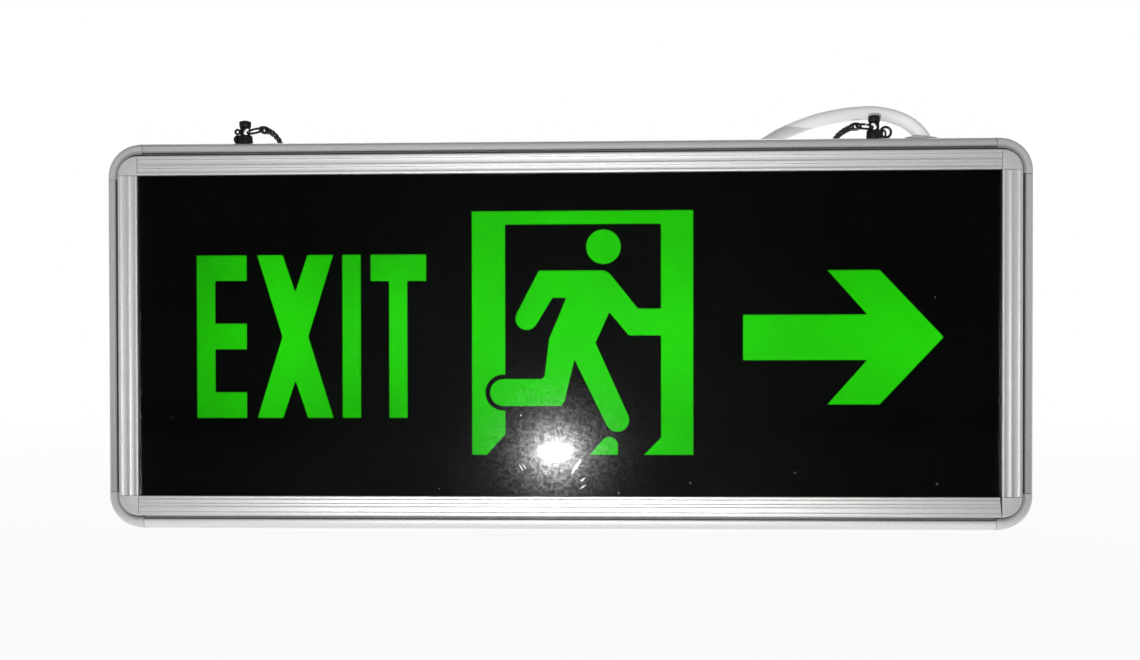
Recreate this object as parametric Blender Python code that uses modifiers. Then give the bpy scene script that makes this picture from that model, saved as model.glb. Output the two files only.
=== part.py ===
"""LED emergency exit sign: an aluminium frame with moulded corners round a lit legend.

Metres, +Z up. The origin is under the middle of the sign, on the surface that it stands on.
The front faces -Y and +X is to the right as the sign is read.
"""

import math

import bmesh
import bpy
from mathutils import Matrix, Vector
from mathutils.geometry import interpolate_bezier

MM = 0.001

# The sign's own size, and the frame's border from the opening to the outer edge.
WIDTH = 355 * MM
HEIGHT = 150 * MM
DEPTH = 25 * MM
BORDER = 13.5 * MM
HALF_OPENING = WIDTH / 2 - BORDER
OPENING_LOW = BORDER
OPENING_HIGH = HEIGHT - BORDER
FRONT = -DEPTH / 2
GAP = 0.3 * MM

# The rail's section: u runs outwards from the opening, v runs back from the front.
LAND = 7.5 * MM
LIP = 1.3 * MM
STEP_DEEP = 3.2 * MM
BULGE_START = 8.9 * MM
BULGE_RISE = 4.75 * MM
BULGE_HALF = 9.9 * MM
SLOT_END = 6.2 * MM
SLOT_DEEP = 4.4 * MM
RIB_END = 5.4 * MM
RIB_TIP = 1.5 * MM
WEB = 12.0 * MM
CURVE_STEPS = 9

# Each corner's two tongues: their depth in the border, their sides, how far they reach into the
# rails, and how far back into the corner they are rooted.
TONGUE_AT = (6.6 * MM, 9.0 * MM)
TONGUE_SIDE = 7.2 * MM
TONGUE_REACH = 12 * MM
TONGUE_ROOT = 8.6 * MM

# Sheets, from the front: the depth of each one's two faces.
COVER_AT = (1.5 * MM, 2.7 * MM)
LEGEND_AT = (3.0 * MM, 3.2 * MM)
FILTER_AT = (3.5 * MM, 3.9 * MM)
DIFFUSER_AT = (5.7 * MM, 7.2 * MM)
BACK_AT = (22.3 * MM, 23.4 * MM)
SHEET_REACH = 5.5 * MM
SHEET_CORNER = 5.0 * MM

# Hangers: where each stands along the top rail, and which way its chain goes.
HANGERS = {"left": (-124.8 * MM, 1), "right": (118.6 * MM, -1)}
EYE_Z = HEIGHT + 4.6 * MM
EYE_RADIUS = 0.95 * MM
STUD_HOLE_RADIUS = 1.7 * MM
NUT_RADIUS = 3.1 * MM
RING_RADIUS = 3.1 * MM
RING_WIRE = 0.45 * MM
RING_SHIFT = 2.8 * MM
RING_TILT = math.radians(10)
CHAIN_ACROSS = {"left": 11.8 * MM, "right": 14.2 * MM}
CHAIN_RADIUS = 1.0 * MM
CHAIN_Y = 14.5 * MM
CHAIN_BEND_Z = 144.6 * MM
LINK_ROOM = 1.5 * MM
END_RING_RADIUS = 3.9 * MM
END_RING_WIRE = 0.6 * MM
END_RING_Z = 23.5 * MM

# Mains cable.
CABLE_RADIUS = 2.7 * MM
CABLE_X = 137.2 * MM
CABLE_LEAN = Vector((-0.447, 0, 0.894))
COIL_CENTRE = Vector((30 * MM, 48.5 * MM, 0))
COIL_INSIDE = 27.2 * MM
COIL_OUTSIDE = 32.8 * MM
COIL_TOP = 10.9 * MM
CORE_RADIUS = 0.9 * MM
CORE_LENGTH = 24 * MM

# Test button and indicators, in the bottom rail.
BUTTON_X = 60 * MM
BUTTON_HOLE_RADIUS = 2.1 * MM
INDICATOR_HOLE_RADIUS = 1.6 * MM
INDICATOR_XS = {"mains": 75 * MM, "charge": 83 * MM, "fault": 91 * MM}


def start_empty():
    for old in list(bpy.data.objects):
        bpy.data.objects.remove(old)
    sign = bpy.data.collections.new("exit_sign")
    cutters = bpy.data.collections.new("cutters")
    bpy.context.scene.collection.children.link(sign)
    bpy.context.scene.collection.children.link(cutters)
    return sign, cutters


SIGN, CUTTERS = start_empty()


def material(name, colour, roughness, metallic=0.0, alpha=1.0, glow=0.0):
    made = bpy.data.materials.new(name)
    made.use_nodes = True
    shader = made.node_tree.nodes["Principled BSDF"]
    shader.inputs["Base Color"].default_value = (*colour, 1)
    shader.inputs["Roughness"].default_value = roughness
    shader.inputs["Metallic"].default_value = metallic
    shader.inputs["Alpha"].default_value = alpha
    shader.inputs["Emission Color"].default_value = (*colour, 1)
    shader.inputs["Emission Strength"].default_value = glow
    made.diffuse_color = (*colour, alpha)
    return made


def finish(name, mesh, look, smooth=True):
    """Puts a mesh in the sign as the named piece."""
    piece = bpy.data.objects.new(name, mesh)
    SIGN.objects.link(piece)
    mesh.materials.clear()
    mesh.materials.append(look)
    if smooth:
        mesh.shade_smooth()
        mesh.set_sharp_from_angle(angle=math.radians(35))
    return piece


def cutter(name, mesh):
    """Puts a mesh among the hidden shapes that cut or join others."""
    tool = bpy.data.objects.new(name, mesh)
    CUTTERS.objects.link(tool)
    tool.hide_render = True
    tool.display_type = "WIRE"
    return tool


def combine(piece, tool, operation="DIFFERENCE"):
    step = piece.modifiers.new(tool.name, "BOOLEAN")
    step.operation = operation
    step.object = tool
    step.solver = "EXACT"


def mesh_of(bm, name, matrix=None):
    mesh = bpy.data.meshes.new(name)
    if matrix is not None:
        bmesh.ops.transform(bm, matrix=matrix, verts=bm.verts)
    bmesh.ops.recalc_face_normals(bm, faces=bm.faces)
    bm.to_mesh(mesh)
    bm.free()
    return mesh


def box_mesh(name, low, high, rounding=0.0):
    low, high = Vector(low), Vector(high)
    bm = bmesh.new()
    size = Matrix.Diagonal((*(high - low), 1))
    bmesh.ops.create_cube(bm, size=1, matrix=Matrix.Translation((low + high) / 2) @ size)
    if rounding:
        bmesh.ops.bevel(bm, geom=bm.edges[:], offset=rounding, segments=2, affect="EDGES")
    return mesh_of(bm, name)


def cylinder_mesh(name, start, end, radius, sides=24):
    start, end = Vector(start), Vector(end)
    along = end - start
    turn = along.to_track_quat("Z", "Y").to_matrix().to_4x4()
    bm = bmesh.new()
    bmesh.ops.create_cone(
        bm,
        cap_ends=True,
        segments=sides,
        radius1=radius,
        radius2=radius,
        depth=along.length,
        matrix=Matrix.Translation((start + end) / 2) @ turn,
    )
    return mesh_of(bm, name)


def from_object(maker, name, matrix=None):
    """Takes the finished mesh of a helper object, welds its caps, and removes the helper."""
    bpy.context.view_layer.update()
    graph = bpy.context.evaluated_depsgraph_get()
    read = bpy.data.meshes.new_from_object(maker.evaluated_get(graph))
    place = maker.matrix_world.copy()
    bpy.data.objects.remove(maker)
    bm = bmesh.new()
    bm.from_mesh(read)
    bpy.data.meshes.remove(read)
    bmesh.ops.remove_doubles(bm, verts=bm.verts, dist=1e-6)
    return mesh_of(bm, name, place if matrix is None else matrix @ place)


def outline_mesh(name, outlines, thickness, matrix):
    """A flat outline, with any holes in it, given an even thickness either side of z = 0."""
    curve = bpy.data.curves.new(name, "CURVE")
    curve.dimensions = "2D"
    curve.fill_mode = "BOTH"
    curve.extrude = thickness / 2
    for points in outlines:
        spline = curve.splines.new("POLY")
        spline.points.add(len(points) - 1)
        for spot, (x, y) in zip(spline.points, points):
            spot.co = (x, y, 0, 1)
        spline.use_cyclic_u = True
    maker = bpy.data.objects.new(name, curve)
    CUTTERS.objects.link(maker)
    return from_object(maker, name, matrix)


def turned_mesh(name, profile, axis, steps, matrix=None, closed=False):
    """Turns a profile of (radius, height) points about the local Z or Y axis."""
    bm = bmesh.new()
    place = (lambda r, h: (r, 0, h)) if axis == "Z" else (lambda r, h: (r, h, 0))
    spots = [bm.verts.new(place(r, h)) for r, h in profile]
    for one, two in zip(spots, spots[1:]):
        bm.edges.new((one, two))
    if closed:
        bm.edges.new((spots[-1], spots[0]))
    mesh = bpy.data.meshes.new(name)
    bm.to_mesh(mesh)
    bm.free()
    maker = bpy.data.objects.new(name, mesh)
    CUTTERS.objects.link(maker)
    turn = maker.modifiers.new("turn", "SCREW")
    turn.axis = axis
    turn.steps = steps
    turn.render_steps = steps
    turn.use_merge_vertices = True
    turn.merge_threshold = 1e-6
    return from_object(maker, name, matrix)


def ring_mesh(name, centre, radius, wire, turn=Matrix.Identity(4), steps=24, sides=8):
    """A plain round ring, its axis the local Z before the turn."""
    angles = [2 * math.pi * k / sides for k in range(sides)]
    profile = [(radius + wire * math.cos(a), wire * math.sin(a)) for a in angles]
    matrix = Matrix.Translation(centre) @ turn
    return turned_mesh(name, profile, "Z", steps, matrix, closed=True)


def tube(name, points, radius, look, resolution=2):
    """A wire or tube along a line of points, its ends closed."""
    curve = bpy.data.curves.new(name, "CURVE")
    curve.dimensions = "3D"
    curve.bevel_depth = radius
    curve.bevel_resolution = resolution
    curve.use_fill_caps = True
    spline = curve.splines.new("POLY")
    spline.points.add(len(points) - 1)
    for spot, point in zip(spline.points, points):
        spot.co = (*point, 1)
    piece = bpy.data.objects.new(name, curve)
    SIGN.objects.link(piece)
    curve.materials.append(look)
    return piece


def smooth_line(route, spacing):
    """A smooth curve through the route's points, read at an even spacing."""
    route = [Vector(p) for p in route]
    ends = [2 * route[0] - route[1]] + route + [2 * route[-1] - route[-2]]
    fine = [route[0]]
    for before, here, there, after in zip(ends, ends[1:], ends[2:], ends[3:]):
        reach = (there - here).length / 3
        leave = here + (there - before).normalized() * reach
        arrive = there - (after - here).normalized() * reach
        fine += interpolate_bezier(here, leave, arrive, there, 24)[1:]
    lengths = [(b - a).length for a, b in zip(fine, fine[1:])]
    count = max(2, round(sum(lengths) / spacing))
    step = sum(lengths) / count
    line, walked, wanted = [fine[0]], 0.0, step
    for start, end, length in zip(fine, fine[1:], lengths):
        while walked + length >= wanted - 1e-9 and len(line) < count:
            line.append(start.lerp(end, (wanted - walked) / length))
            wanted += step
        walked += length
    return line + [fine[-1]]


def arc(centre, radius, start, end, count):
    """Points on an arc, its angles in degrees from +X towards +Y."""
    for k in range(count + 1):
        angle = math.radians(start + (end - start) * k / count)
        yield centre[0] + radius * math.cos(angle), centre[1] + radius * math.sin(angle)


# Frame


def bulge(count):
    """The frame's rounded outer side, from the front step to the flat at mid-depth."""
    last = math.acos((BORDER - BULGE_START) / BULGE_RISE)
    for k in range(count + 1):
        angle = math.pi / 2 + (last - math.pi / 2) * k / count
        u = BULGE_START + BULGE_RISE * math.cos(angle)
        yield u, DEPTH / 2 - BULGE_HALF * math.sin(angle)


def outer_side(ribbed, count):
    """The section's outside, from the opening at the front round to the opening at the back."""
    ribs = [1.0, 1.15, 2.75, 2.9, 3.8, 3.95, 5.95, 6.1]
    floors = [0, 0.25, 0.25, 0, 0, 0.25, 0.25, 0]
    land = [(u * MM, v * MM) for u, v in zip(ribs, floors)] if ribbed else []
    edge = [(LAND - 0.2 * MM, 0.0), (LAND, 0.2 * MM)]
    step = [(LAND, STEP_DEEP), (BULGE_START - 0.2 * MM, STEP_DEEP)]
    curve = list(bulge(count))
    front = [(0.0, 0.0)] + land + edge + step + curve
    back = [(u, DEPTH - v) for u, v in reversed([(0.0, 0.0)] + edge + step + curve)]
    return front + back


def inner_side():
    """The section's inside, from the opening at the front lip to the opening at the back lip."""
    half = [
        (0.0, LIP),
        (SLOT_END, LIP),
        (SLOT_END, SLOT_DEEP),
        (RIB_TIP, SLOT_DEEP),
        (RIB_TIP, RIB_END),
        (LAND + 1.1 * MM, RIB_END),
        (WEB, 8.5 * MM),
    ]
    return half + [(u, DEPTH - v) for u, v in reversed(half)]


def rail_place(angle, centre):
    """Turns a section so that u points along +X rotated by the angle about Y."""
    section = Matrix.Translation((0, FRONT, 0))
    return Matrix.Translation(centre) @ Matrix.Rotation(angle, 4, "Y") @ section


def build_rails(look):
    middle = (OPENING_LOW + OPENING_HIGH) / 2
    outline = outer_side(True, CURVE_STEPS) + list(reversed(inner_side()))
    across = 2 * HALF_OPENING - GAP
    upright = OPENING_HIGH - OPENING_LOW - GAP
    places = {
        "rail_right": (0, (HALF_OPENING, 0, middle), upright),
        "rail_top": (-math.pi / 2, (0, 0, OPENING_HIGH), across),
        "rail_left": (math.pi, (-HALF_OPENING, 0, middle), upright),
        "rail_bottom": (math.pi / 2, (0, 0, OPENING_LOW), across),
    }
    rails = {}
    for name, (angle, centre, length) in places.items():
        mesh = outline_mesh(name, [outline], length, rail_place(angle, centre))
        rails[name] = finish(name, mesh, look)
    return rails


def corner_box(name, centre, right, up, low, high):
    """A box beside an opening corner, its X and Z sides measured outwards from the opening."""
    ends = [centre + Vector((right * p.x, p.y, up * p.z)) for p in (low, high)]
    return cutter(name, box_mesh(name, map(min, zip(*ends)), map(max, zip(*ends))))


def build_corners(look):
    """Each corner is a quarter of the section turned about the opening's corner, with a tongue
    that goes inside each of its two rails."""
    places = {
        "corner_top_right": (1, 1),
        "corner_top_left": (-1, 1),
        "corner_bottom_left": (-1, -1),
        "corner_bottom_right": (1, -1),
    }
    for name, (right, up) in places.items():
        level = OPENING_HIGH if up > 0 else OPENING_LOW
        centre = Vector((right * HALF_OPENING, FRONT, level))
        place = Matrix.Translation(centre)
        outside = turned_mesh(name, outer_side(False, 5), "Y", 40, place)
        piece = finish(name, outside, look)
        inside = turned_mesh(name + "_hollow", inner_side(), "Y", 40, place)
        combine(piece, cutter(inside.name, inside))
        near, far = Vector((GAP / 2, -DEPTH, GAP / 2)), Vector((DEPTH, 2 * DEPTH, DEPTH))
        window = corner_box(f"{name}_quarter", centre, right, up, near, far)
        combine(piece, window, "INTERSECT")
        low = Vector((TONGUE_AT[0], TONGUE_SIDE, -TONGUE_REACH))
        high = Vector((TONGUE_AT[1], DEPTH - TONGUE_SIDE, TONGUE_ROOT))
        tongue = corner_box(f"{name}_tongue_up", centre, right, up, low, high)
        combine(piece, tongue, "UNION")
        low, high = Vector((low.z, low.y, low.x)), Vector((high.z, high.y, high.x))
        tongue = corner_box(f"{name}_tongue_across", centre, right, up, low, high)
        combine(piece, tongue, "UNION")


# Sheets and legend


def sheet_outline(reach, corner):
    """A rectangle with rounded corners, reaching past the opening on every side."""
    right, high = HALF_OPENING + reach - corner, OPENING_HIGH + reach - corner
    low = OPENING_LOW - reach + corner
    points = []
    points += arc((right, high), corner, 0, 90, 5)
    points += arc((-right, high), corner, 90, 180, 5)
    points += arc((-right, low), corner, 180, 270, 5)
    points += arc((right, low), corner, 270, 360, 5)
    return points


def upright(outlines, depths):
    """The thickness and matrix that stand a flat outline up between two depths."""
    middle = FRONT + sum(depths) / 2
    stand = Matrix.Translation((0, middle, 0)) @ Matrix.Rotation(math.pi / 2, 4, "X")
    return outlines, depths[1] - depths[0], stand


def in_mm(points):
    return [(x * MM, z * MM) for x, z in points]


def letters():
    """The word, in narrow block capitals. Points are millimetres across and up."""
    top, low = 105.9, 43.4
    left, stem, right = -141.6, -134.4, -122.2
    bars = [(96.1, 79.7), (69.8, 53.3)]
    e = [(right, top), (left, top), (left, low), (right, low)]
    for high, deep in reversed(bars):
        e += [(right, deep), (stem, deep), (stem, high), (right, high)]
    x_middle, x_half, waist = -103.4, 14.7, 74.6
    x = []
    for side in (1, -1):
        x += [(x_middle + side * 4.8, top), (x_middle + side * x_half, top)]
        x += [(x_middle + side * 5.0, waist)]
        x += [(x_middle + side * x_half, low), (x_middle + side * 4.8, low)]
        x.append((x_middle, 57.7))
        if side > 0:
            right_side = x
            x = []
    left_side = list(reversed(x[:-1]))
    x = right_side + left_side + [(x_middle, 91.8)]
    i = [(-85.2, top), (-85.2, low), (-78.1, low), (-78.1, top)]
    bar, stem_left, stem_right = 95.8, -67.2, -60.2
    t = [(-74.3, top), (-74.3, bar), (stem_left, bar), (stem_left, low)]
    t += [(stem_right, low), (stem_right, bar), (-52.9, bar), (-52.9, top)]
    return [in_mm(e), in_mm(x), in_mm(i), in_mm(t)]


def door_and_figure():
    """The open door and the running figure, as windows in the print."""
    outer_left, outer_right, outer_top, sill = -35.4, 48.8, 122.2, 29.3
    inner_left, inner_right, inner_top = -22.7, 36.6, 117.1
    arm_top, arm_low = 84.9, 74.7
    foot, foot_radius, clear = (-23.4, 53.05), 5.15, 6.9
    # The left jamb keeps clear of the foot by a round notch, which starts and ends at this angle.
    notch = math.degrees(math.acos((inner_left - foot[0]) / clear))
    head = list(arc((14.8, 108.5), 6.6, 0, 360, 36))[:-1]
    figure = [(14.0, 99.5), (-9.8, 99.5)]
    figure += arc((-14.5, 81.2), 4.3, 152, 332, 10)
    figure += [(-4.7, 89.1), (0.6, 89.1), (-5.9, 73.6), (-7.7, 59.2), (-8.9, 58.2)]
    figure += arc(foot, foot_radius, 90, 270, 16)
    figure += [(-1.4, 47.9), (-0.2, 49.5), (3.7, 65.6)]
    figure += arc((20.0, 42.5), 4.5, 205, 381, 10)
    figure += [(11.7, 72.0), (17.0, 83.6), (24.4, arm_low), (inner_right, arm_low)]
    # The arm runs into the right jamb, so that jamb and the lintel are one window with the figure.
    figure += [(inner_right, 35.9), (30.1, sill), (outer_right, sill), (outer_right, outer_top)]
    figure += [(outer_left, outer_top), (outer_left, sill), (-29.8, sill), (inner_left, 37.1)]
    figure += arc(foot, clear, -notch, notch - 360, 24)
    figure += [(inner_left, inner_top), (inner_right, inner_top), (inner_right, arm_top)]
    figure += [(27.9, arm_top)]
    figure += arc((14.0, 94.9), 4.6, 41, 90, 4)
    shadow = [(20.2, sill), (20.2, 33.4)]
    shadow += arc((16.9, 32.9), 3.3, 10, 140, 8)
    shadow += [(9.4, sill)]
    return [in_mm(head), in_mm(figure), in_mm(shadow)]


def arrow():
    head_back, shoulder, tip, neck = 99.3, 118.9, 142.8, 114.2
    middle, half, half_shaft, tail = 73.8, 25.4, 8.6, 67.6
    upper = [(tail, half_shaft), (neck, half_shaft), (head_back, half), (shoulder, half), (tip, 0)]
    lower = [(x, -z) for x, z in reversed(upper[:-1])]
    return in_mm([(x, middle + z) for x, z in upper + lower])


def build_sheets(looks):
    cover = upright([sheet_outline(SHEET_REACH, SHEET_CORNER)], COVER_AT)
    finish("front_cover", outline_mesh("front_cover", *cover), looks["acrylic"])
    windows = letters() + door_and_figure() + [arrow()]
    legend = upright([sheet_outline(SHEET_REACH, SHEET_CORNER)] + windows, LEGEND_AT)
    finish("legend_mask", outline_mesh("legend_mask", *legend), looks["print"], smooth=False)
    colour = upright([sheet_outline(SHEET_REACH, SHEET_CORNER)], FILTER_AT)
    finish("green_filter", outline_mesh("green_filter", *colour), looks["filter"])
    diffuser = upright([sheet_outline(5.0 * MM, 4.5 * MM)], DIFFUSER_AT)
    finish("diffuser", outline_mesh("diffuser", *diffuser), looks["diffuser"])


def keyhole(x, z):
    """A round hole for a screw head, with a slot above it for the shank."""
    big, small, rise = 4.0 * MM, 2.2 * MM, 8 * MM
    meet = math.degrees(math.acos(small / big))
    points = list(arc((x, z), big, 180 - meet, 360 + meet, 16))
    points += arc((x, z + rise), small, 0, 180, 8)
    return points


def build_back_plate(looks):
    holes = [keyhole(x, 100 * MM) for x in (-80 * MM, 80 * MM)]
    plate = upright([sheet_outline(SHEET_REACH, SHEET_CORNER)] + holes, BACK_AT)
    finish("back_plate", outline_mesh("back_plate", *plate), looks["plate"])


# Inside the housing


def depth_box(name, left, right, low, high, near, far, rounding=0.0):
    """A box given by its sides in millimetres, its last two numbers the depth behind the front."""
    bottom = (left * MM, FRONT + near * MM, low * MM)
    top = (right * MM, FRONT + far * MM, high * MM)
    return box_mesh(name, bottom, top, rounding * MM)


def build_led_board(name, low, looks):
    half_long, tall, board_near, board_far, pitch = 150, 9, 20.2, 21.8, 25
    board = depth_box(name, -half_long, half_long, low, low + tall, board_near, board_far)
    piece = finish(name, board, looks["led_board"], smooth=False)
    bm = bmesh.new()
    middle = low + tall / 2
    for number in range(-5, 6):
        across = number * pitch
        chip = depth_box("chip", across - 2, across + 2, middle - 2, middle + 2, 19.2, 20.6)
        bm.from_mesh(chip)
        bpy.data.meshes.remove(chip)
    combine(piece, cutter(name + "_chips", mesh_of(bm, name + "_chips")), "UNION")


def build_driver(looks):
    board = depth_box("driver_board", -58, 22, 52, 98, 20.2, 21.8)
    finish("driver_board", board, looks["circuit"], smooth=False)
    core = depth_box("transformer", -44, -20, 62, 84, 9.0, 19.9, 0.6)
    finish("transformer", core, looks["transformer"])
    middle = FRONT + 14.6 * MM
    start, end = (-8 * MM, middle, 70 * MM), (12 * MM, middle, 70 * MM)
    can = cylinder_mesh("capacitor", start, end, 5.0 * MM)
    finish("capacitor", can, looks["capacitor"])
    block = depth_box("terminal_block", 108, 128, 104, 116, 10, 21.8)
    block = finish("terminal_block", block, looks["terminal"], smooth=False)
    for number, across in enumerate((111.5, 118, 124.5)):
        mouth = depth_box(f"terminal_mouth_{number}", across - 2, across + 2, 110, 117, 12, 18)
        combine(block, cutter(mouth.name, mouth))


def build_battery(looks):
    """Three cells side by side in a shrink sleeve, held to the back plate by a strap."""
    cell, middle, left, right = 5.2, 15.9, -128, -82
    low, high = 58, 58 + 4 * cell
    sleeve = list(arc((low, middle), cell, 90, 270, 10))
    sleeve += arc((high, middle), cell, 270, 450, 10)
    place = rail_place(-math.pi / 2, ((left + right) / 2 * MM, 0, 0))
    pack = outline_mesh("battery_pack", [in_mm(sleeve)], (right - left) * MM, place)
    finish("battery_pack", pack, looks["battery"])
    inner, outer, foot, floor, strip = cell + 0.3, cell + 1.1, 7, 22.0, 0.8
    strap = [(low - outer - foot, floor), (low - outer - foot, floor - strip)]
    strap += [(low - outer, floor - strip)]
    strap += arc((low, middle), outer, 180, 270, 6)
    strap += arc((high, middle), outer, 270, 360, 6)
    strap += [(high + outer, floor - strip), (high + outer + foot, floor - strip)]
    strap += [(high + outer + foot, floor), (high + inner, floor)]
    strap += arc((high, middle), inner, 360, 270, 6)
    strap += arc((low, middle), inner, 270, 180, 6)
    strap += [(low - inner, floor)]
    clip = outline_mesh("battery_clip", [in_mm(strap)], 9 * MM, place)
    finish("battery_clip", clip, looks["steel"], smooth=False)


def build_inner_leads(looks):
    """Each lead stops just short of the two pieces that it joins."""
    routes = {
        "mains_lead": [
            (140.48, 0.0, 143.1),
            (141.5, 0.1, 140.0),
            (139.5, 0.6, 132.5),
            (131.0, 1.4, 126.8),
            (121.5, 2.2, 124.2),
            (118.0, 2.4, 117.4),
        ],
        "battery_lead": [(-81.6, 3.4, 68), (-74, 2.6, 70), (-66, 4.0, 76), (-62, 8.2, 80)],
        "led_lead": [(-10, 8.0, 99.0), (-10, 4.5, 103), (-10, 4.2, 112), (-10, 7.0, 117.2)],
    }
    sizes = {"mains_lead": 2.7, "battery_lead": 1.0, "led_lead": 0.8}
    for name, route in routes.items():
        points = [Vector(p) * MM for p in route]
        tube(name, smooth_line(points, 4 * MM), sizes[name] * MM, looks[name])


# Test button and indicators


def turned_piece(name, profile, x, look, steps=20):
    """A turned piece with its axis upright at mid-depth, its profile in millimetres."""
    mesh = turned_mesh(name, [(r * MM, z * MM) for r, z in profile], "Z", steps)
    piece = finish(name, mesh, look)
    piece.location.x = x
    return piece


def build_button(rail, looks):
    through = (BUTTON_X, 0, -MM), (BUTTON_X, 0, 4 * MM)
    combine(rail, cutter("button_hole", cylinder_mesh("hole", *through, BUTTON_HOLE_RADIUS)))
    cap = [(0, 0.4), (1.5, 0.4), (1.8, 0.7), (1.8, 1.8), (2.8, 1.8), (2.8, 2.6), (0.9, 2.6)]
    cap += [(0.9, 8.5), (0, 8.5)]
    turned_piece("test_button", cap, BUTTON_X, looks["button"])
    body = depth_box("button_switch", -3.4, 3.4, 6.5, 12.5, 8.9, 16.1)
    switch = finish("button_switch", body, looks["switch"], smooth=False)
    switch.location.x = BUTTON_X
    stem_room = 1.2 * MM
    well = cylinder_mesh("well", (BUTTON_X, 0, 6 * MM), (BUTTON_X, 0, 11 * MM), stem_room)
    combine(switch, cutter("switch_well", well))
    build_spring(looks["spring"])


def build_spring(look):
    """The coil between the button's collar and its switch."""
    low, high, turns, radius, wire = 3.1 * MM, 6.0 * MM, 3, 1.9 * MM, 0.22 * MM
    count = 12 * turns
    coil = []
    for k in range(count + 1):
        angle = 2 * math.pi * turns * k / count
        rise = low + (high - low) * k / count
        coil.append((radius * math.cos(angle), radius * math.sin(angle), rise))
    spring = tube("button_spring", coil, wire, look, resolution=1)
    spring.location.x = BUTTON_X


def build_indicators(rail, looks):
    for use, x in INDICATOR_XS.items():
        through = (x, 0, -MM), (x, 0, 4 * MM)
        hole = cylinder_mesh("hole", *through, INDICATOR_HOLE_RADIUS, 16)
        combine(rail, cutter(f"{use}_hole", hole))
        lens = [(0, 0.3), (0.9, 0.45), (1.3, 0.9), (1.3, 1.8), (1.9, 1.8), (1.9, 2.6)]
        lens += [(1.3, 2.6), (1.3, 6.0), (0, 6.0)]
        turned_piece(f"indicator_{use}", lens, x, looks[f"indicator_{use}"], steps=16)


# Hangers


def build_post(side, x, outward, rail, looks):
    """The post's stud goes down through the rail into a nut. Its eye runs front to back, and its
    side loops are on the side away from the chain."""
    through = (x, 0, HEIGHT - 6 * MM), (x, 0, HEIGHT + MM)
    stud_hole = cylinder_mesh("stud_hole", *through, STUD_HOLE_RADIUS, 16)
    combine(rail, cutter(f"stud_hole_{side}", stud_hole))
    profile = [(0, -9.5), (1.4, -9.5), (1.4, 0.15), (2.6, 0.15), (2.6, 3.0), (2.3, 3.3)]
    profile += [(1.9, 3.4), (1.9, 6.6), (2.15, 6.9), (2.15, 8.0), (1.5, 8.45), (0, 8.6)]
    post = turned_piece(f"hanger_post_{side}", profile, x, looks["nickel"])
    post.location.z = HEIGHT
    stand = Matrix.Rotation(math.pi / 2, 4, "X")
    if side == "left":
        aside = Matrix.Rotation(math.radians(50), 4, "Z") @ stand
        loops = [(3.0, EYE_Z + 0.2 * MM, 0.95, 0.35, stand)]
        loops.append((3.0, HEIGHT + 2.15 * MM, 1.45, 0.4, aside))
    else:
        loops = [(4.15, HEIGHT + 2.8 * MM, 2.05, 0.4, stand)]
    for number, (off, z, radius, wire, turn) in enumerate(loops):
        centre = Vector((x + outward * off * MM, 0, z))
        loop = ring_mesh(f"loop_{side}_{number}", centre, radius * MM, wire * MM, turn, 20)
        combine(post, cutter(loop.name, loop), "UNION")
    across = (x, -4 * MM, EYE_Z), (x, 4 * MM, EYE_Z)
    combine(post, cutter(f"eye_{side}", cylinder_mesh("eye", *across, EYE_RADIUS, 16)))
    low, high = (x, 0, HEIGHT - 4.2 * MM), (x, 0, HEIGHT - 1.8 * MM)
    nut = cylinder_mesh(f"post_nut_{side}", low, high, NUT_RADIUS, 6)
    nut = finish(f"post_nut_{side}", nut, looks["nut"], smooth=False)
    combine(nut, cutter(f"thread_{side}", cylinder_mesh("thread", *through, STUD_HOLE_RADIUS, 16)))


def build_chain(side, x, inward, looks):
    """A jump ring in the eye, the chain's short top stretch over the rail, its long stretch
    hanging behind the sign, and the ring on its end."""
    tilt = Matrix.Rotation(-inward * RING_TILT, 4, "Y")
    along = Vector((inward * math.cos(RING_TILT), 0, math.sin(RING_TILT)))
    eye = Vector((x, 0, EYE_Z))
    ring = ring_mesh("ring", eye + RING_SHIFT * along, RING_RADIUS, RING_WIRE, tilt)
    finish(f"jump_ring_{side}", ring, looks["nickel"])
    hang = x + inward * CHAIN_ACROSS[side]
    reach = abs(hang - x)
    top = [
        (0.615, 0.4, 155.95),
        (0.775, 4.0, 156.0),
        (0.89, 7.6, 155.1),
        (0.97, 11.0, 153.0),
        (1.0, 13.5, 149.9),
    ]
    points = [Vector((x + inward * s * reach, y * MM, z * MM)) for s, y, z in top]
    bend = Vector((hang, CHAIN_Y, CHAIN_BEND_Z))
    room = Vector((0, 0, LINK_ROOM))
    points.append(bend + room)
    tube(f"chain_top_{side}", smooth_line(points, 2.4 * MM), CHAIN_RADIUS, looks["nickel"])
    end = Vector((hang, CHAIN_Y, END_RING_Z))
    hanging = smooth_line([bend - room, (bend + end) / 2, end + room], 30 * MM)
    tube(f"chain_hanging_{side}", hanging, CHAIN_RADIUS, looks["nickel"])
    centre = end - Vector((0, 0, END_RING_RADIUS))
    stand = Matrix.Rotation(math.pi / 2, 4, "X")
    ring = ring_mesh("end", centre, END_RING_RADIUS, END_RING_WIRE, stand, 24, 6)
    finish(f"end_ring_{side}", ring, looks["nickel"])


# Mains cable


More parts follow.
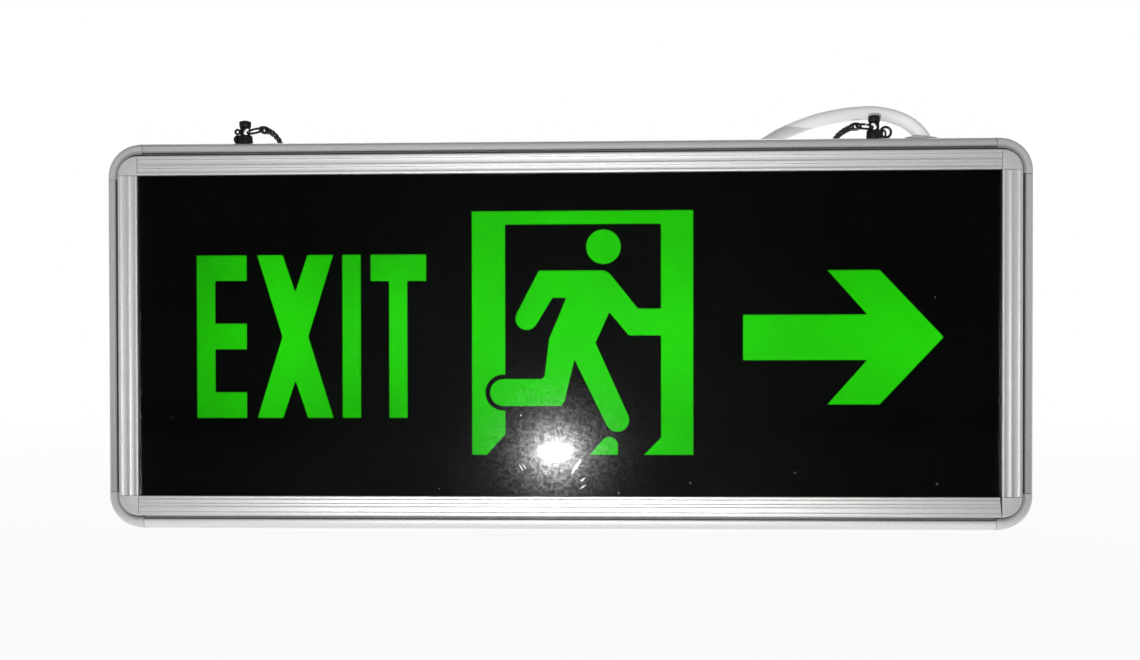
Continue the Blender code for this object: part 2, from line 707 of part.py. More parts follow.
def build_grommet(rail, looks):
    """A soft bush, its flange shaped to the rail and its bore leaning the way the cable leaves."""
    hole_x, hole_radius, neck_radius, bore_radius = 138.0 * MM, 4.9 * MM, 4.6 * MM, 3.15 * MM
    flange_x, flange_radius, sides = 136.0 * MM, 5.8 * MM, 24
    top, under = HEIGHT + 1.0 * MM, HEIGHT - 3.1 * MM
    through = (hole_x, 0, HEIGHT - 5 * MM), (hole_x, 0, top)
    combine(rail, cutter("cable_hole", cylinder_mesh("hole", *through, hole_radius)))
    across = (flange_x, 0, HEIGHT - 2 * MM), (flange_x, 0, top)
    flange = cylinder_mesh("cable_grommet", *across, flange_radius, sides)
    bush = finish("cable_grommet", flange, looks["grommet"])
    saddle_place = rail_place(-math.pi / 2, (flange_x, 0, OPENING_HIGH + GAP / 2))
    outline = outer_side(False, CURVE_STEPS)
    saddle = outline_mesh("saddle", [outline], 30 * MM, saddle_place)
    combine(bush, cutter("saddle", saddle))
    along = (hole_x, 0, under), (hole_x, 0, HEIGHT + 0.5 * MM)
    neck = cylinder_mesh("neck", *along, neck_radius, sides)
    combine(bush, cutter("grommet_neck", neck), "UNION")
    leaves, reach = Vector((CABLE_X, 0, HEIGHT)), 9 * MM * CABLE_LEAN
    bore = cylinder_mesh("bore", leaves - reach, leaves + reach, bore_radius)
    combine(bush, cutter("cable_bore", bore))


def build_cable(looks):
    """The cable leans out of its grommet, goes over behind the right hanger, and falls behind the
    sign to the surface, where the rest of it lies in a coil with its bare end beside it."""
    route = [
        (140.3, 0.0, 143.5),
        (138.9, 0.0, 146.6),
        (136.6, 0.1, 151.2),
        (132.9, 1.4, 155.4),
        (127.5, 4.3, 158.9),
        (120.6, 9.0, 161.3),
        (113.5, 15.0, 162.2),
        (106.8, 22.0, 162.3),
        (99.9, 29.5, 161.6),
        (93.0, 38.0, 160.0),
        (86.2, 46.5, 157.6),
        (78.0, 56.0, 152.2),
        (70.0, 63.5, 143.0),
        (64.5, 68.0, 130.0),
        (61.5, 70.2, 112.0),
        (60.3, 71.0, 90.0),
        (60.0, 71.0, 65.0),
        (60.0, 70.2, 44.0),
        (60.0, 66.4, 29.0),
        (60.0, 59.2, 18.3),
        (60.0, 50.0, 14.0),
    ]
    points = [Vector(p) * MM for p in route]
    tube("mains_cable", smooth_line(points, 5.5 * MM), CABLE_RADIUS, looks["cable"], 3)
    build_coil(looks["cable"])
    tail = [Vector(p) * MM for p in [(50.5, 79.6, 2.8), (62, 82.0, 2.8), (74, 86.4, 2.8)]]
    tube("cable_end", smooth_line(tail, 5.5 * MM), CABLE_RADIUS, looks["cable"], 3)
    build_cores(tail[-1], (tail[-1] - tail[-2]).normalized(), looks)


def build_coil(look):
    near, far, low, high, soft = COIL_INSIDE, COIL_OUTSIDE, 0.1 * MM, COIL_TOP, 1.5 * MM
    profile = [(near + soft, low), (far - soft, low), (far, low + soft), (far, high - soft)]
    profile += [(far - soft, high), (near + soft, high), (near, high - soft), (near, low + soft)]
    place = Matrix.Translation(COIL_CENTRE)
    coil = turned_mesh("cable_coil", profile, "Z", 32, place, closed=True)
    finish("cable_coil", coil, look)


def build_cores(end, along, looks):
    """The three cores spread from the sheath's end. Each has its own start and end beside the
    sheath's line, in millimetres, and a ferrule."""
    spread = {"brown": (1.0, 3.35, 5.5), "blue": (0.0, 1.8, 0.0), "earth": (-1.0, 3.35, -5.5)}
    collar = [(0, 0), (1.4, 0), (1.4, 4.0), (0.7, 5.0), (0.7, 12.0), (0, 12.0)]
    profile = [(r * MM, z * MM) for r, z in collar]
    aside = Vector((-along.y, along.x, 0))
    for use, (start_off, start_z, end_off) in spread.items():
        start = end + along * GAP + aside * start_off * MM
        start.z = start_z * MM
        tip = end + along * CORE_LENGTH + aside * end_off * MM
        tip.z = 1.6 * MM
        line = smooth_line([start, start + along * 4 * MM, tip - along * 8 * MM, tip], 3 * MM)
        tube(f"core_{use}", line, CORE_RADIUS, looks[f"core_{use}"])
        turn = (line[-1] - line[-2]).to_track_quat("Z", "Y").to_matrix().to_4x4()
        place = Matrix.Translation(tip + along * GAP) @ turn
        ferrule = turned_mesh(f"ferrule_{use}", profile, "Z", 14, place)
        finish(f"ferrule_{use}", ferrule, looks["ferrule"])


def make_looks():
    nickel = (0.10, 0.10, 0.10)
    white = (0.85, 0.85, 0.84)
    return {
        "rail": material("frame_aluminium", (0.66, 0.67, 0.68), 0.35, 1.0),
        "corner": material("corner_plastic", (0.70, 0.71, 0.71), 0.4, 0.3),
        "acrylic": material("clear_acrylic", (0.9, 0.92, 0.92), 0.05, alpha=0.2),
        "print": material("black_print", (0.004, 0.006, 0.005), 0.3),
        "filter": material("green_filter", (0.02, 0.6, 0.01), 0.4, glow=1.0),
        "diffuser": material("diffuser_white", (0.9, 0.9, 0.88), 0.5),
        "plate": material("back_plate_white", (0.78, 0.78, 0.76), 0.5),
        "led_board": material("led_board", (0.8, 0.8, 0.78), 0.5),
        "circuit": material("circuit_board", (0.02, 0.22, 0.07), 0.4),
        "transformer": material("transformer_tape", (0.75, 0.55, 0.08), 0.5),
        "capacitor": material("capacitor_sleeve", (0.03, 0.04, 0.09), 0.4),
        "terminal": material("terminal_nylon", (0.82, 0.82, 0.78), 0.5),
        "battery": material("battery_sleeve", (0.05, 0.22, 0.10), 0.4),
        "steel": material("spring_steel", (0.6, 0.6, 0.62), 0.35, 1.0),
        "spring": material("spring_wire", (0.6, 0.6, 0.62), 0.3, 1.0),
        "nut": material("zinc_nut", (0.62, 0.62, 0.60), 0.35, 1.0),
        "nickel": material("black_nickel", nickel, 0.3, 1.0),
        "grommet": material("grommet_grey", (0.5, 0.5, 0.5), 0.6),
        "cable": material("cable_white", white, 0.45),
        "mains_lead": material("inner_cable_white", white, 0.45),
        "battery_lead": material("battery_lead_red", (0.6, 0.02, 0.02), 0.45),
        "led_lead": material("led_lead_white", white, 0.45),
        "core_brown": material("core_brown", (0.18, 0.07, 0.02), 0.45),
        "core_blue": material("core_blue", (0.02, 0.10, 0.5), 0.45),
        "core_earth": material("core_green_yellow", (0.35, 0.55, 0.03), 0.45),
        "ferrule": material("ferrule_tin", (0.7, 0.7, 0.7), 0.3, 1.0),
        "button": material("button_red", (0.6, 0.02, 0.02), 0.4),
        "switch": material("switch_black", (0.02, 0.02, 0.02), 0.5),
        "indicator_mains": material("lens_green", (0.05, 0.5, 0.06), 0.15),
        "indicator_charge": material("lens_red", (0.6, 0.03, 0.03), 0.15),
        "indicator_fault": material("lens_yellow", (0.7, 0.5, 0.03), 0.15),
    }


def build_sign():
    looks = make_looks()
    rails = build_rails(looks["rail"])
    build_corners(looks["corner"])
    build_sheets(looks)
    build_back_plate(looks)
    build_led_board("led_board_upper", 118, looks)
    build_led_board("led_board_lower", 23, looks)
    build_driver(looks)
    build_battery(looks)
    build_inner_leads(looks)
    build_button(rails["rail_bottom"], looks)
    build_indicators(rails["rail_bottom"], looks)
    for side, (x, inward) in HANGERS.items():
        build_post(side, x, -inward, rails["rail_top"], looks)
        build_chain(side, x, inward, looks)
    build_grommet(rails["rail_top"], looks)
    build_cable(looks)


build_sign()
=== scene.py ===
"""Looks of the LED emergency exit sign: fine surfaces, materials, studio and camera.

Metres, +Z up. The sign's front faces -Y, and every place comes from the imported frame.
"""

import math

import bmesh
import bpy
from mathutils import Matrix, Vector
from mathutils.geometry import interpolate_bezier


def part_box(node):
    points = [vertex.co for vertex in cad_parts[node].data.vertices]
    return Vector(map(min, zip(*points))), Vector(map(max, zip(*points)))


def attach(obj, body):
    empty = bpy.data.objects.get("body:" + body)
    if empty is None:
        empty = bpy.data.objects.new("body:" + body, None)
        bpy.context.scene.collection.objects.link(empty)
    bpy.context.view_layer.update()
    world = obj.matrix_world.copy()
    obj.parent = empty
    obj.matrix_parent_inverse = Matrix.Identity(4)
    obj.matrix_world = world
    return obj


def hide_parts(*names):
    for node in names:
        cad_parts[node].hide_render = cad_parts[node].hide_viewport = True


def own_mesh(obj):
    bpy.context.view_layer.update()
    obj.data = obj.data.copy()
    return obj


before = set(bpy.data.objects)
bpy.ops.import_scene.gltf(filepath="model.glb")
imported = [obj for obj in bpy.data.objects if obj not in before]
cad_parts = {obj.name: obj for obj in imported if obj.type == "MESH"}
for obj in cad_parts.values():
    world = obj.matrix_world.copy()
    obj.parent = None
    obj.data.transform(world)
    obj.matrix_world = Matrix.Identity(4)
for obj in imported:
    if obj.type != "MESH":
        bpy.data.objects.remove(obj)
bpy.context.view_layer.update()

MM = 0.001

# Places read from the frame.
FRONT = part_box("rail_top")[0].y
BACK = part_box("rail_top")[1].y
DEPTH = BACK - FRONT
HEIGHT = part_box("corner_top_left")[1].z
HALF_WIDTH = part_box("corner_top_right")[1].x
SEAM = 0.15 * MM
HALF_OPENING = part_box("rail_top")[1].x + SEAM
OPENING_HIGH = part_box("rail_right")[1].z + SEAM
OPENING_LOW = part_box("rail_right")[0].z - SEAM
BORDER = HALF_WIDTH - HALF_OPENING


def middle_x(node):
    low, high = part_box(node)
    return (low.x + high.x) / 2


# The frame's section, as in the CAD: u runs outwards from the opening, v back from the front.
LAND = 7.5 * MM
LIP = 1.3 * MM
GROOVE_DEEP = 4.7 * MM
BEAD_EDGE = 8.9  # in mm, as the bead's curve is written
SLOT_END = 6.2 * MM
SLOT_DEEP = 4.4 * MM
RIB_TIP = 1.5 * MM
RIB_END = 5.4 * MM
WEB = 12.0 * MM
TAB = 1.25 * MM  # how far a corner's bead laps over the end of each rail
LAP_SEAM = 0.18 * MM  # between the end of that lap and the rail's own bead


# Camera and cord come first


def make_camera():
    """A close view from just right of the middle, with the lens's centre off the middle."""
    yaw, pitch, roll = math.radians(2.494), math.radians(-0.649), math.radians(0.116)
    turn = Matrix.Rotation(yaw, 4, "Z") @ Matrix.Rotation(pitch, 4, "X")
    turn = turn @ Matrix.Rotation(roll, 4, "Y") @ Matrix.Rotation(math.pi / 2, 4, "X")
    data = bpy.data.cameras.new("camera")
    data.sensor_width = 36
    data.lens = 46.62
    data.shift_x = 0.0378
    data.shift_y = 0.0417
    data.clip_start = 0.01
    camera = bpy.data.objects.new("camera", data)
    camera.matrix_world = Matrix.Translation((0.01007, FRONT - 0.560, 0.06516)) @ turn
    bpy.context.scene.collection.objects.link(camera)
    bpy.context.scene.camera = camera


def smooth_line(route, spacing):
    """A smooth curve through the route's points, read at an even spacing."""
    route = [Vector(p) for p in route]
    ends = [2 * route[0] - route[1]] + route + [2 * route[-1] - route[-2]]
    fine = [route[0]]
    for before, here, there, after in zip(ends, ends[1:], ends[2:], ends[3:]):
        reach = (there - here).length / 3
        leave = here + (there - before).normalized() * reach
        arrive = there - (after - here).normalized() * reach
        fine += interpolate_bezier(here, leave, arrive, there, 24)[1:]
    lengths = [(b - a).length for a, b in zip(fine, fine[1:])]
    count = max(2, round(sum(lengths) / spacing))
    step = sum(lengths) / count
    line, walked, wanted = [fine[0]], 0.0, step
    for start, end, length in zip(fine, fine[1:], lengths):
        while walked + length >= wanted - 1e-9 and len(line) < count:
            line.append(start.lerp(end, (wanted - walked) / length))
            wanted += step
        walked += length
    return line + [fine[-1]]


def length_of(points):
    return sum((b - a).length for a, b in zip(points, points[1:]))


CABLE_RADIUS = 2.7 * MM
CABLE_HOLE_X = 138.0 * MM
CABLE_EXIT = (137.2 * MM, 0, HEIGHT)
CABLE_LEAN = Vector((-0.447, 0, 0.894))  # its direction at the exit
FLANGE_X = 135.0 * MM
COIL_CENTRE = Vector((30, 48.5)) * MM
COIL_RADIUS = 30 * MM
LAYER_LOW = 2.75 * MM
LAYER_HIGH = 8.15 * MM
COIL_TURNS = 1.75
COIL_STEPS = 48
CABLE_FALL = [
    (140.3, 0.0, 143.5),
    (138.9, 0.0, 146.6),
    (136.6, 0.1, 151.2),
    (132.9, 1.4, 155.4),
    (127.5, 4.3, 158.9),
    (120.6, 9.0, 161.3),
    (113.5, 15.0, 162.15),
    (106.8, 22.0, 162.25),
    (99.9, 29.5, 161.6),
    (93.0, 38.0, 160.0),
    (86.2, 46.5, 157.6),
    (78.0, 56.0, 152.2),
    (70.0, 63.5, 143.0),
    (64.5, 68.0, 130.0),
    (61.5, 70.2, 112.0),
    (60.3, 71.0, 90.0),
    (60.0, 71.0, 65.0),
    (60.0, 70.2, 44.0),
    (60.0, 66.4, 29.0),
    (60.0, 59.2, 18.3),
]
CABLE_TAIL = [(50.5, 79.6, 2.8), (62.0, 82.0, 2.8), (74.0, 86.4, 2.8)]


def layer_height(turned):
    """The coil's height after so many turns: it settles onto the upper layer, and drops to the
    lower one in the quarter turn where no other turn is above or below it."""
    settle, start, end = 0.22, 0.77, 0.98
    if turned < settle:
        share = 1 - turned / settle
        return LAYER_HIGH + (14.0 * MM - LAYER_HIGH) * share * share
    share = min(1.0, max(0.0, (turned - start) / (end - start)))
    return LAYER_HIGH + (LAYER_LOW - LAYER_HIGH) * share * share * (3 - 2 * share)


def cable_line():
    fall = [Vector(p) * MM for p in CABLE_FALL]
    steps = round(COIL_TURNS * COIL_STEPS)
    coil = []
    for k in range(steps + 1):
        turned = k / COIL_STEPS
        angle = -2 * math.pi * turned
        x, y = COIL_RADIUS * math.cos(angle), COIL_RADIUS * math.sin(angle)
        coil.append(Vector((COIL_CENTRE.x + x, COIL_CENTRE.y + y, layer_height(turned))))
    tail = [Vector(p) * MM for p in CABLE_TAIL]
    return smooth_line(fall + coil + tail, 2 * MM)


make_camera()
CABLE_LINE = cable_line()


# Mesh helpers


def new_object(name, mesh):
    piece = bpy.data.objects.new(name, mesh)
    bpy.context.scene.collection.objects.link(piece)
    return piece


def mesh_of(bm, name, matrix=None):
    mesh = bpy.data.meshes.new(name)
    if matrix is not None:
        bmesh.ops.transform(bm, matrix=matrix, verts=bm.verts)
    bmesh.ops.recalc_face_normals(bm, faces=bm.faces)
    bm.to_mesh(mesh)
    bm.free()
    return mesh


def rounded(points, radius, steps):
    """Rounds an open outline's corners. Where a side is short, the rounding is smaller."""
    points = [Vector(p) for p in points]
    made = [points[0]]
    for before, here, after in zip(points, points[1:], points[2:]):
        if abs((here - before).angle(after - here, 0)) < math.radians(12):
            made.append(here)
            continue
        room = min((before - here).length, (after - here).length) * 0.45
        reach = min(radius, room)
        start = here + (before - here).normalized() * reach
        end = here + (after - here).normalized() * reach
        for s in range(steps + 1):
            t = s / steps
            made.append(start * (1 - t) ** 2 + here * 2 * t * (1 - t) + end * t * t)
    return made + [points[-1]]


def add_skin(bm, rings, cyclic):
    """Joins rings of points with quads. A cyclic skin meets itself, and another is capped."""
    rows = [[bm.verts.new(p) for p in ring] for ring in rings]
    pairs = list(zip(rows, rows[1:])) + ([(rows[-1], rows[0])] if cyclic else [])
    for one, two in pairs:
        for k in range(len(one)):
            n = (k + 1) % len(one)
            bm.faces.new((one[k], one[n], two[n], two[k]))
    if not cyclic:
        bm.faces.new(list(reversed(rows[0])))
        bm.faces.new(rows[-1])


def loft(name, rings, cyclic=False, matrix=None):
    bm = bmesh.new()
    add_skin(bm, rings, cyclic)
    return mesh_of(bm, name, matrix)


def turned_mesh(name, profile, steps, matrix, rounding=0.0):
    """Turns a (radius, height) profile in mm about Z. Points on the axis close the ends."""
    points = [(radius * MM, height * MM) for radius, height in profile]
    if rounding:
        points = rounded(points, rounding, 3)
    bm = bmesh.new()
    verts = [bm.verts.new((max(p[0], 0.0), 0, p[1])) for p in points]
    edges = [bm.edges.new(pair) for pair in zip(verts, verts[1:])]
    bmesh.ops.spin(
        bm,
        geom=verts + edges,
        cent=(0, 0, 0),
        axis=(0, 0, 1),
        angle=2 * math.pi,
        steps=steps,
        use_merge=True,
    )
    bmesh.ops.remove_doubles(bm, verts=bm.verts, dist=1e-7)
    return mesh_of(bm, name, matrix)


def ring_mesh(name, radius, wire, steps, sides, matrix):
    rings = []
    for k in range(steps):
        turn = 2 * math.pi * k / steps
        ring = []
        for s in range(sides):
            a = 2 * math.pi * s / sides
            out = radius + wire * math.cos(a)
            ring.append((out * math.cos(turn), out * math.sin(turn), wire * math.sin(a)))
        rings.append(ring)
    return loft(name, rings, cyclic=True, matrix=matrix)


def sweep_rings(points, section, normal=None):
    """Places a flat section at each point of a line, without twist."""
    line = [Vector(p) for p in points]
    tangents = []
    for k in range(len(line)):
        ahead, behind = line[min(k + 1, len(line) - 1)], line[max(k - 1, 0)]
        tangents.append((ahead - behind).normalized())
    side = Vector(normal) if normal else tangents[0].orthogonal()
    rings = []
    for point, along in zip(line, tangents):
        side = (side - along * side.dot(along)).normalized()
        up = along.cross(side)
        rings.append([point + side * a + up * b for a, b in section])
    return rings


def circle(radius, sides):
    return [
        (radius * math.cos(2 * math.pi * k / sides), radius * math.sin(2 * math.pi * k / sides))
        for k in range(sides)
    ]


def cylinder_mesh(name, start, end, radius, sides=64):
    start, end = Vector(start), Vector(end)
    return loft(name, sweep_rings([start, end], circle(radius, sides)))


def box_mesh(name, low, high):
    low, high = Vector(low), Vector(high)
    bm = bmesh.new()
    size = Matrix.Diagonal((*(high - low), 1))
    bmesh.ops.create_cube(bm, size=1, matrix=Matrix.Translation((low + high) / 2) @ size)
    return mesh_of(bm, name)


def boolean(piece, mesh, operation="DIFFERENCE"):
    """Cuts or joins a mesh at once, and removes it."""
    tool = new_object("tool", mesh)
    step = piece.modifiers.new("step", "BOOLEAN")
    step.operation = operation
    step.object = tool
    step.solver = "EXACT"
    bpy.context.view_layer.update()
    graph = bpy.context.evaluated_depsgraph_get()
    result = bpy.data.meshes.new_from_object(piece.evaluated_get(graph))
    piece.modifiers.clear()
    old = piece.data
    piece.data = result
    bpy.data.meshes.remove(old)
    bpy.data.objects.remove(tool)
    bpy.data.meshes.remove(mesh)


def finish_piece(piece, body, node, look, angle):
    """Smooths a new piece below an angle in degrees, gives it its material, and puts it in place
    of its CAD node."""
    mesh = piece.data
    mesh.name = piece.name
    mesh.materials.clear()
    mesh.materials.append(look)
    mesh.shade_smooth()
    mesh.set_sharp_from_angle(angle=math.radians(angle))
    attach(piece, body)
    if node:
        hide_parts(node)
    return piece


# Materials


class Surface:
    """A material whose colour, roughness and relief come from procedural nodes in object space."""

    def __init__(self, name, roughness, metallic=0.0, ior=1.5):
        self.material = bpy.data.materials.new(name)
        self.material.use_nodes = True
        self.tree = self.material.node_tree
        self.shader = self.tree.nodes["Principled BSDF"]
        self.shader.inputs["Roughness"].default_value = roughness
        self.shader.inputs["Metallic"].default_value = metallic
        self.shader.inputs["IOR"].default_value = ior
        self.place = self.tree.nodes.new("ShaderNodeTexCoord").outputs["Object"]
        self.relief = None

    def link(self, start, end):
        self.tree.links.new(start, end)

    def node(self, kind, **settings):
        made = self.tree.nodes.new(kind)
        for key, value in settings.items():
            setattr(made, key, value)
        return made

    def stretched(self, scale):
        mapping = self.node("ShaderNodeMapping")
        mapping.inputs["Scale"].default_value = scale
        self.link(self.place, mapping.inputs["Vector"])
        return mapping.outputs["Vector"]

    def noise(self, scale, detail=2.0, rough=0.5, stretch=(1, 1, 1)):
        made = self.node("ShaderNodeTexNoise")
        made.inputs["Scale"].default_value = scale
        made.inputs["Detail"].default_value = detail
        made.inputs["Roughness"].default_value = rough
        self.link(self.stretched(stretch), made.inputs["Vector"])
        return made.outputs["Fac"]

    def ramp(self, value, low, high, start=0.0, end=1.0):
        """A number that goes from low to high as the value goes from start to end."""
        made = self.node("ShaderNodeMapRange")
        for key, number in (("From Min", start), ("From Max", end), ("To Min", low), ("To Max", high)):
            made.inputs[key].default_value = number
        self.link(value, made.inputs["Value"])
        return made.outputs["Result"]

    def mix(self, factor, one, two):
        made = self.node("ShaderNodeMix", data_type="RGBA")
        colours = [socket for socket in made.inputs if socket.type == "RGBA"]
        for socket, colour in zip(colours, (one, two)):
            if isinstance(colour, tuple):
                socket.default_value = (*colour, 1)
            else:
                self.link(colour, socket)
        self.link(factor, made.inputs[0])
        return next(socket for socket in made.outputs if socket.type == "RGBA")

    def combine(self, operation, one, two):
        """The math node's result for two values, each another node's output or a number."""
        made = self.node("ShaderNodeMath", operation=operation)
        for socket, value in zip(made.inputs, (one, two)):
            if isinstance(value, float):
                socket.default_value = value
            else:
                self.link(value, socket)
        return made.outputs["Value"]

    def axes(self):
        """The place's x, y and z as separate values."""
        made = self.node("ShaderNodeSeparateXYZ")
        self.link(self.place, made.inputs["Vector"])
        return made.outputs

    def distance(self, vector):
        made = self.node("ShaderNodeVectorMath", operation="LENGTH")
        self.link(vector, made.inputs[0])
        return made.outputs["Value"]

    def set(self, name, value):
        self.link(value, self.shader.inputs[name])

    def bump(self, height, distance, strength=1.0):
        made = self.node("ShaderNodeBump")
        made.inputs["Distance"].default_value = distance
        made.inputs["Strength"].default_value = strength
        self.link(height, made.inputs["Height"])
        if self.relief:
            self.link(self.relief, made.inputs["Normal"])
        self.relief = made.outputs["Normal"]
        self.link(self.relief, self.shader.inputs["Normal"])


def shade(colour, factor):
    return tuple(min(1.0, c * factor) for c in colour)


def plastic(name, colour, roughness, tone=0.06, grain=900.0, depth=0.01, broad=25.0):
    """Moulded or extruded plastic: fine grain, a little unevenness in colour and gloss."""
    made = Surface(name, roughness)
    wide = made.noise(broad, 3)
    made.set("Base Color", made.mix(wide, shade(colour, 1 - tone), shade(colour, 1 + tone)))
    fine = made.noise(grain, 3, 0.6)
    made.set("Roughness", made.ramp(fine, roughness * 0.85, roughness * 1.15, 0.3, 0.7))
    made.bump(fine, depth * MM)
    return made.material


def metal(name, colour, roughness, depth=0.004, tone=0.05, metallic=1.0):
    """Metal with a fine grain, and duller and brighter patches."""
    made = Surface(name, roughness, metallic)
    wide = made.noise(18.0, 4)
    fine = made.noise(700.0, 4, 0.65)
    base = made.mix(wide, shade(colour, 1 - tone), shade(colour, 1 + tone))
    made.set("Base Color", made.mix(made.ramp(fine, 0.0, 0.35, 0.35, 0.75), base, shade(colour, 0.82)))
    made.set("Roughness", made.ramp(fine, roughness * 0.88, roughness * 1.12, 0.3, 0.7))
    made.bump(fine, depth * MM)
    return made.material


def anodised(name, stretch):
    """Satin anodised aluminium: die lines along the extrusion under a milky, finely pitted oxide."""
    made = Surface(name, 0.5, 0.82)
    lines = made.noise(1.0, 3, 0.6, stretch)
    pits = made.noise(2600.0, 2, 0.6)
    wide = made.noise(14.0, 3)
    base = made.mix(wide, (0.71, 0.71, 0.705), (0.77, 0.77, 0.76))
    base = made.mix(made.ramp(lines, 0.0, 0.3, 0.45, 0.8), base, (0.64, 0.64, 0.635))
    base = made.mix(made.ramp(pits, 0.0, 0.8, 0.5, 0.75), base, (0.52, 0.52, 0.52))
    made.set("Base Color", base)
    made.set("Roughness", made.ramp(lines, 0.45, 0.51, 0.3, 0.7))
    made.bump(lines, 0.003 * MM)
    made.bump(pits, 0.004 * MM)
    return made.material


def silver_paint():
    """The corners' fine silver paint over a moulding."""
    made = Surface("corner_silver", 0.42, 0.35)
    flakes = made.noise(3200.0, 2, 0.7)
    wide = made.noise(60.0, 3)
    base = made.mix(wide, (0.50, 0.50, 0.495), (0.55, 0.55, 0.543))
    base = made.mix(made.ramp(flakes, 0.0, 0.6, 0.45, 0.8), base, (0.66, 0.66, 0.66))
    made.set("Base Color", base)
    made.set("Roughness", made.ramp(flakes, 0.46, 0.36, 0.3, 0.7))
    made.bump(flakes, 0.003 * MM)
    made.bump(wide, 0.02 * MM)
    return made.material


# Wipe marks on the cover: the middle's x and z, half the length and half the width, in mm, and
# the lean in degrees
WIPE_MARKS = [
    (4.4, 24.9, 3.9, 0.7, 57),
    (6.8, 19.9, 1.4, 0.5, 33),
    (6.9, 17.2, 1.7, 0.45, 34),
    (-16.7, 24.5, 1.9, 0.22, -61),
    (-15.4, 25.0, 1.5, 0.18, -58),
]


def clear_acrylic():
    """Polished acrylic with a thin haze, a few wipe marks and dust specks on its face."""
    made = Surface("clear_acrylic", 0.0, ior=1.49)
    made.shader.inputs["Transmission Weight"].default_value = 1.0
    axes = made.axes()
    flat = made.node("ShaderNodeCombineXYZ")
    made.link(axes["X"], flat.inputs["X"])
    made.link(axes["Z"], flat.inputs["Y"])
    haze = made.ramp(made.noise(750.0, 4, 0.8), 0.028, 0.118, 0.41, 0.63)
    for x, z, half_long, half_wide, lean in WIPE_MARKS:
        spot = made.node("ShaderNodeMapping", vector_type="TEXTURE")
        spot.inputs["Location"].default_value = x * MM, z * MM, 0
        spot.inputs["Rotation"].default_value = 0, 0, math.radians(lean)
        spot.inputs["Scale"].default_value = half_long * MM, half_wide * MM, 1
        made.link(flat.outputs["Vector"], spot.inputs["Vector"])
        mark = made.ramp(made.distance(spot.outputs["Vector"]), 0.8, 0.0, 0.3, 1.0)
        haze = made.combine("MAXIMUM", haze, mark)
    made.set("Coat Weight", haze)
    made.shader.inputs["Coat Roughness"].default_value = 0.13
    cells = made.node("ShaderNodeTexVoronoi", voronoi_dimensions="2D")
    cells.inputs["Scale"].default_value = 42.0
    made.link(flat.outputs["Vector"], cells.inputs["Vector"])
    near = made.ramp(cells.outputs["Distance"], 1.0, 0.0, 0.006, 0.013)
    kept = made.ramp(cells.outputs["Color"], 0.0, 1.0, 0.62, 0.95)
    speck = made.combine("MULTIPLY", near, kept)
    made.set("Base Color", made.mix(speck, (0.99, 1.0, 0.99), (0.5, 0.55, 0.5)))
    made.set("Transmission Weight", made.ramp(speck, 1.0, 0.25))
    made.set("Roughness", made.ramp(speck, 0.019, 0.6))
    return made.material


def black_print():
    """Screen-printed black: nearly opaque, with a faint green cast and pinholes of uneven ink."""
    made = Surface("black_print", 0.35)
    made.shader.inputs["Specular IOR Level"].default_value = 0.0  # the ink is bonded to the cover
    wide = made.noise(30.0, 3)
    made.set("Base Color", made.mix(wide, (0.0008, 0.0014, 0.0008), (0.0016, 0.0028, 0.0016)))
    fine = made.noise(1500.0, 2)
    made.set("Roughness", made.ramp(fine, 0.3, 0.45, 0.3, 0.7))
    return made.material


def painted_glow_green():
    """The green filter's glow, painted as emission in place of the lamps behind it: dimmer at the left
    end and between the lamps.
    """
    made = Surface("green_filter", 0.5)
    made.shader.inputs["Specular IOR Level"].default_value = 0.0
    made.shader.inputs["Base Color"].default_value = (0.004, 0.20, 0.001, 1)
    axes = made.axes()
    across = made.ramp(axes["X"], 0.0, 1.0, -0.145, 0.145)
    level = made.node("ShaderNodeValToRGB")
    stops = [(0.0, 0.58), (0.13, 0.88), (0.21, 0.73), (0.3, 0.81), (0.4, 0.88), (0.5, 1.0)]
    stops += [(0.6, 0.93), (0.8, 0.83), (1.0, 0.93)]
    while len(level.color_ramp.elements) < len(stops):
        level.color_ramp.elements.new(0.5)
    for stop, (spot, value) in zip(level.color_ramp.elements, stops):
        stop.position = spot
        stop.color = (value, value, value, 1)
    level.color_ramp.interpolation = "EASE"
    made.link(across, level.inputs["Fac"])
    height = made.ramp(axes["Z"], 0.0, 1.0, 0.040, 0.112)
    lift = made.ramp(made.combine("PINGPONG", height, 0.5), 0.84, 1.08, 0.0, 0.4)
    cloud = made.ramp(made.noise(16.0, 1), 0.90, 1.08, 0.3, 0.7)
    glow = made.combine("MULTIPLY", lift, cloud)
    whole = made.combine("MULTIPLY", glow, level.outputs["Color"])
    # Painted light: the filter itself glows, with the pattern the lamps behind it would give.
    made.set("Emission Color", made.mix(whole, (0.0, 0.0, 0.0), (0.016, 0.60, 0.0015)))
    made.shader.inputs["Emission Strength"].default_value = 1.0
    return made.material


def powder_coat(name, colour, roughness):
    made = Surface(name, roughness)
    peel = made.noise(420.0, 2, 0.5)
    wide = made.noise(22.0, 3)
    made.set("Base Color", made.mix(wide, shade(colour, 0.96), shade(colour, 1.03)))
    made.set("Roughness", made.ramp(peel, roughness * 0.85, roughness * 1.15, 0.3, 0.7))
    made.bump(peel, 0.05 * MM, 0.6)
    return made.material


def glowing_lens(name, colour, glow):
    made = Surface(name, 0.12)
    swirl = made.noise(500.0, 2)
    made.set("Base Color", made.mix(swirl, shade(colour, 0.8), shade(colour, 1.15)))
    made.shader.inputs["Transmission Weight"].default_value = 0.3
    made.shader.inputs["Emission Color"].default_value = (*colour, 1)
    made.shader.inputs["Emission Strength"].default_value = glow
    made.bump(swirl, 0.004 * MM)
    return made.material


